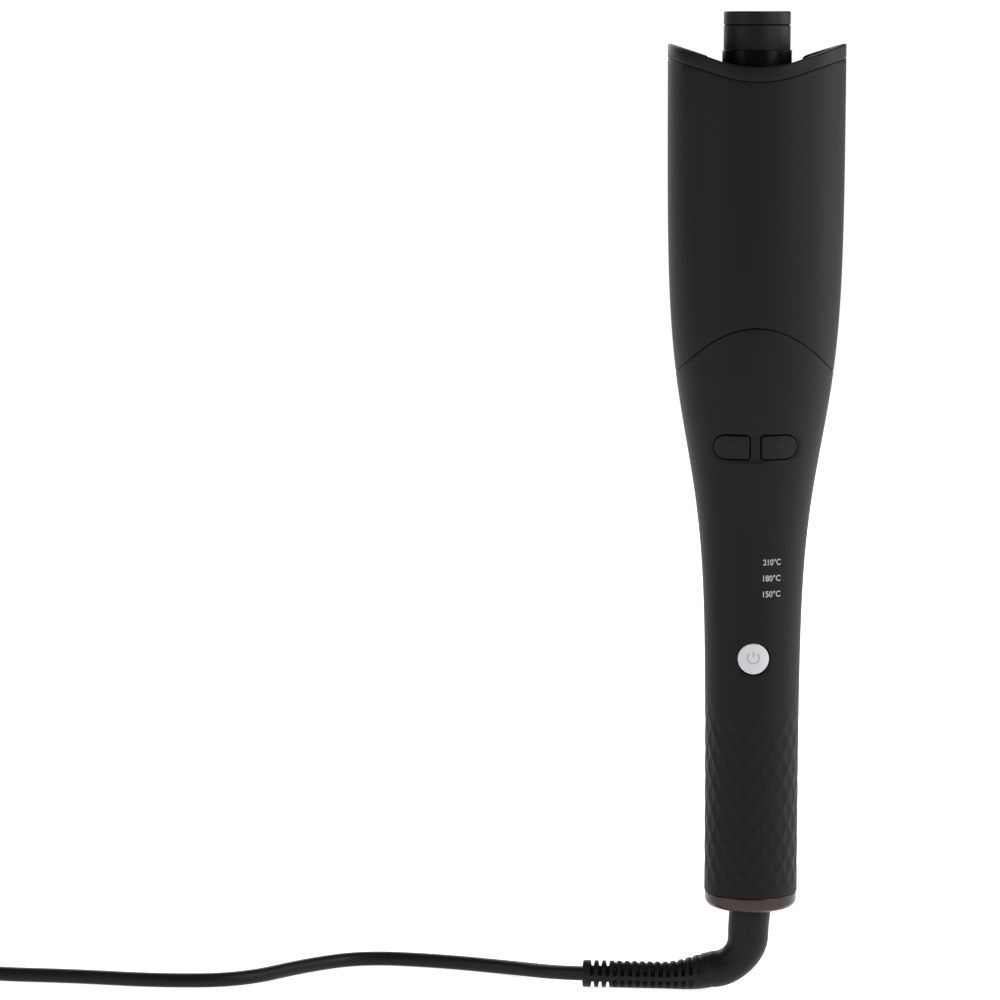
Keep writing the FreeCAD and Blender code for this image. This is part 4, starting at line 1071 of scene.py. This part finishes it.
def plug_pins():
    """Two metal pins, each with an insulating sleeve next to the plug."""
    pin_corners = ((0, 8 * MM), (1.9 * MM, 8 * MM), (1.9 * MM, PIN_LENGTH), (0, PIN_LENGTH))
    sleeve_corners = ((0, -1 * MM), (2.0 * MM, -1 * MM), (2.0 * MM, 10 * MM), (1.9 * MM, 10 * MM),
                      (0, 9 * MM))
    for side, word in ((-1, "near"), (1, "far")):
        pin = turned("plug_pin_" + word, "nickel_brass", pin_corners, (0, 0, 1.3 * MM, 0), 48)
        sleeve = turned("pin_sleeve_" + word, "plug_plastic", sleeve_corners,
                        (0, 0, 0.15 * MM, 0.05 * MM, 0), 48)
        place(along_plug(pin, side * PIN_SPACING / 2), "swivel_cord", "nickel_brass")
        place(along_plug(sleeve, side * PIN_SPACING / 2), "swivel_cord", "plug_plastic")
    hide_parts("plug_pins")


def cord_tie():
    """A springy clip that hugs the wound turns, open towards the floor."""
    low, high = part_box("cord_tie")
    centre_x, centre_y = (low.x + high.x) / 2, COIL_CENTRE[1] - 0.988 * TURN_R
    foot = low.z + 0.5 * MM
    pitch = CORD_D * 1.02
    hug = CORD_D / 2 + 0.6 * MM
    shoulder_y, shoulder_z = 1.5 * pitch + hug, CORD_Z + hug * math.tan(math.radians(15))
    crown_y, crown_z = pitch + hug * math.tan(math.radians(30)), CORD_Z + math.sqrt(3) / 2 * pitch + hug
    half_path = [(shoulder_y, foot), (shoulder_y, shoulder_z), (crown_y, crown_z)]
    corners = [Vector((-y, z, 0)) for y, z in half_path]
    corners += [Vector((y, z, 0)) for y, z in reversed(half_path)]
    line = rounded(corners, (0, hug, hug, hug, hug, 0), 8)
    section = rounded([Vector((x, w, 0)) for x, w in ((-4, -0.5), (4, -0.5), (4, 0.5), (-4, 0.5))],
                      (0.35,) * 4, 3)
    rings = []
    for i, point in enumerate(line):
        along = (line[min(i + 1, len(line) - 1)] - line[max(i - 1, 0)]).normalized()
        side = Vector((-along.y, along.x, 0))
        ring = []
        for p in section:
            across = point + side * p.y * MM
            ring.append(Vector((centre_x + p.x * MM, centre_y + across.x, across.y)))
        rings.append(ring)
    bm = bmesh.new()
    rings_to_mesh(bm, rings)
    place(object_from(bm, "tie_clip", "plug_plastic"), "swivel_cord", "plug_plastic", "cord_tie")


# ---------------------------------------------------------------- carried-over CAD nodes

def dress_cad_nodes():
    """Gives each CAD node that stays the material of its slot."""
    for entry in frame["record"]["subparts"]:
        mesh = frame["nodes"][entry["node"]].data
        mesh.materials.clear()
        mesh.materials.append(MATERIALS[entry["material_slot"]])


# ---------------------------------------------------------------- studio

def stage_material(name, colour, glow):
    """A matt material with a white glow of its own."""
    material = new_material(name, colour, 0.9)
    shader = material.node_tree.nodes["Principled BSDF"]
    shader.inputs["Emission Color"].default_value = (1, 1, 1, 1)
    shader.inputs["Emission Strength"].default_value = glow
    return material


ROOM_LIGHT = 0.25
BACKDROP_LIGHT = 1.0


def studio():
    """A plain pale floor in a dim room with a white backdrop all round."""
    bm = bmesh.new()
    bmesh.ops.create_grid(bm, x_segments=1, y_segments=1, size=60)
    mesh = bpy.data.meshes.new("floor")
    bm.to_mesh(mesh)
    bm.free()
    mesh.materials.append(stage_material("floor_white", (0.85, 0.85, 0.85), 0.80))
    floor = bpy.data.objects.new("floor", mesh)
    floor.location.z = FLOOR_Z
    bpy.context.scene.collection.objects.link(floor)
    world = bpy.data.worlds.new("studio")
    world.use_nodes = True
    tree = world.node_tree
    seen = tree.nodes.new("ShaderNodeLightPath").outputs["Is Camera Ray"]
    background = tree.nodes["Background"]
    tree.links.new(ramp(tree, seen, ROOM_LIGHT, BACKDROP_LIGHT), background.inputs["Strength"])
    background.inputs["Color"].default_value = (1, 1, 1, 1)
    bpy.context.scene.world = world
    bpy.context.scene.view_settings.view_transform = "Standard"


WARM = (1.0, 0.95, 0.89)
SOFTBOXES = (
    ("key", (1.3, -0.9, 1.0), 0.12, (0.9, 1.6), 23),
    ("side", (1.65, 0.45, 0.62), 0.16, (0.8, 1.6), 15),
    ("fill", (-1.5, -1.0, 0.6), 0.1, (0.8, 1.2), 7),
    ("back", (-0.7, 1.7, 0.9), 0.15, (1.2, 1.2), 16),
)


def softbox(name, spot, aim_z, size, power):
    """A warm area light aimed at a height on the body's axis."""
    lamp = bpy.data.lights.new(name, "AREA")
    lamp.shape = "RECTANGLE"
    lamp.size, lamp.size_y = size
    lamp.energy = power
    lamp.color = WARM
    light = bpy.data.objects.new(name, lamp)
    light.location = spot
    aim = Vector((0, 0, aim_z)) - Vector(spot)
    light.rotation_euler = aim.to_track_quat("-Z", "Y").to_euler()
    bpy.context.scene.collection.objects.link(light)


def camera():
    """Level with the tip, 1.6 m away, a little to the left of the front.

    The body stands right of the picture's middle by side_share of its width.
    """
    distance = 1.6
    bearing = math.radians(1.4)
    pitch = math.radians(7.07)
    side_share = 0.2554
    lens = bpy.data.cameras.new("camera")
    lens.sensor_width = 36
    lens.lens = 141.9
    lens.clip_start, lens.clip_end = 0.05, 50
    view = bpy.data.objects.new("camera", lens)
    x, y = -distance * math.sin(bearing), -distance * math.cos(bearing)
    view.location = (x, y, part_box("tip_cap")[1].z)
    heading = bearing - math.atan(side_share * lens.sensor_width / lens.lens)
    level = math.cos(pitch)
    aim = Vector((math.sin(heading) * level, math.cos(heading) * level, -math.sin(pitch)))
    view.rotation_euler = aim.to_track_quat("-Z", "Y").to_euler()
    bpy.context.scene.collection.objects.link(view)
    bpy.context.scene.camera = view


# ---------------------------------------------------------------- build

dress_cad_nodes()
housing_half("front_shell", "front_housing", 0)
housing_half("rear_shell", "rear_housing", math.pi)
head_shroud()
rim_band()
slot_cheek(-1, "slot_cheek_left")
slot_cheek(1, "slot_cheek_right")
d_button(-1, "left_button")
d_button(1, "right_button")
power_button()
barrel_pieces()
bottom_ring()
strain_relief()
power_symbol()
arrow(-1, "left_button")
arrow(1, "right_button")
for words, height in TEMPERATURES:
    temperature(words, height)
plug_body()
plug_pins()
cord_tie()
cord()
studio()
for settings in SOFTBOXES:
    softbox(*settings)
camera()
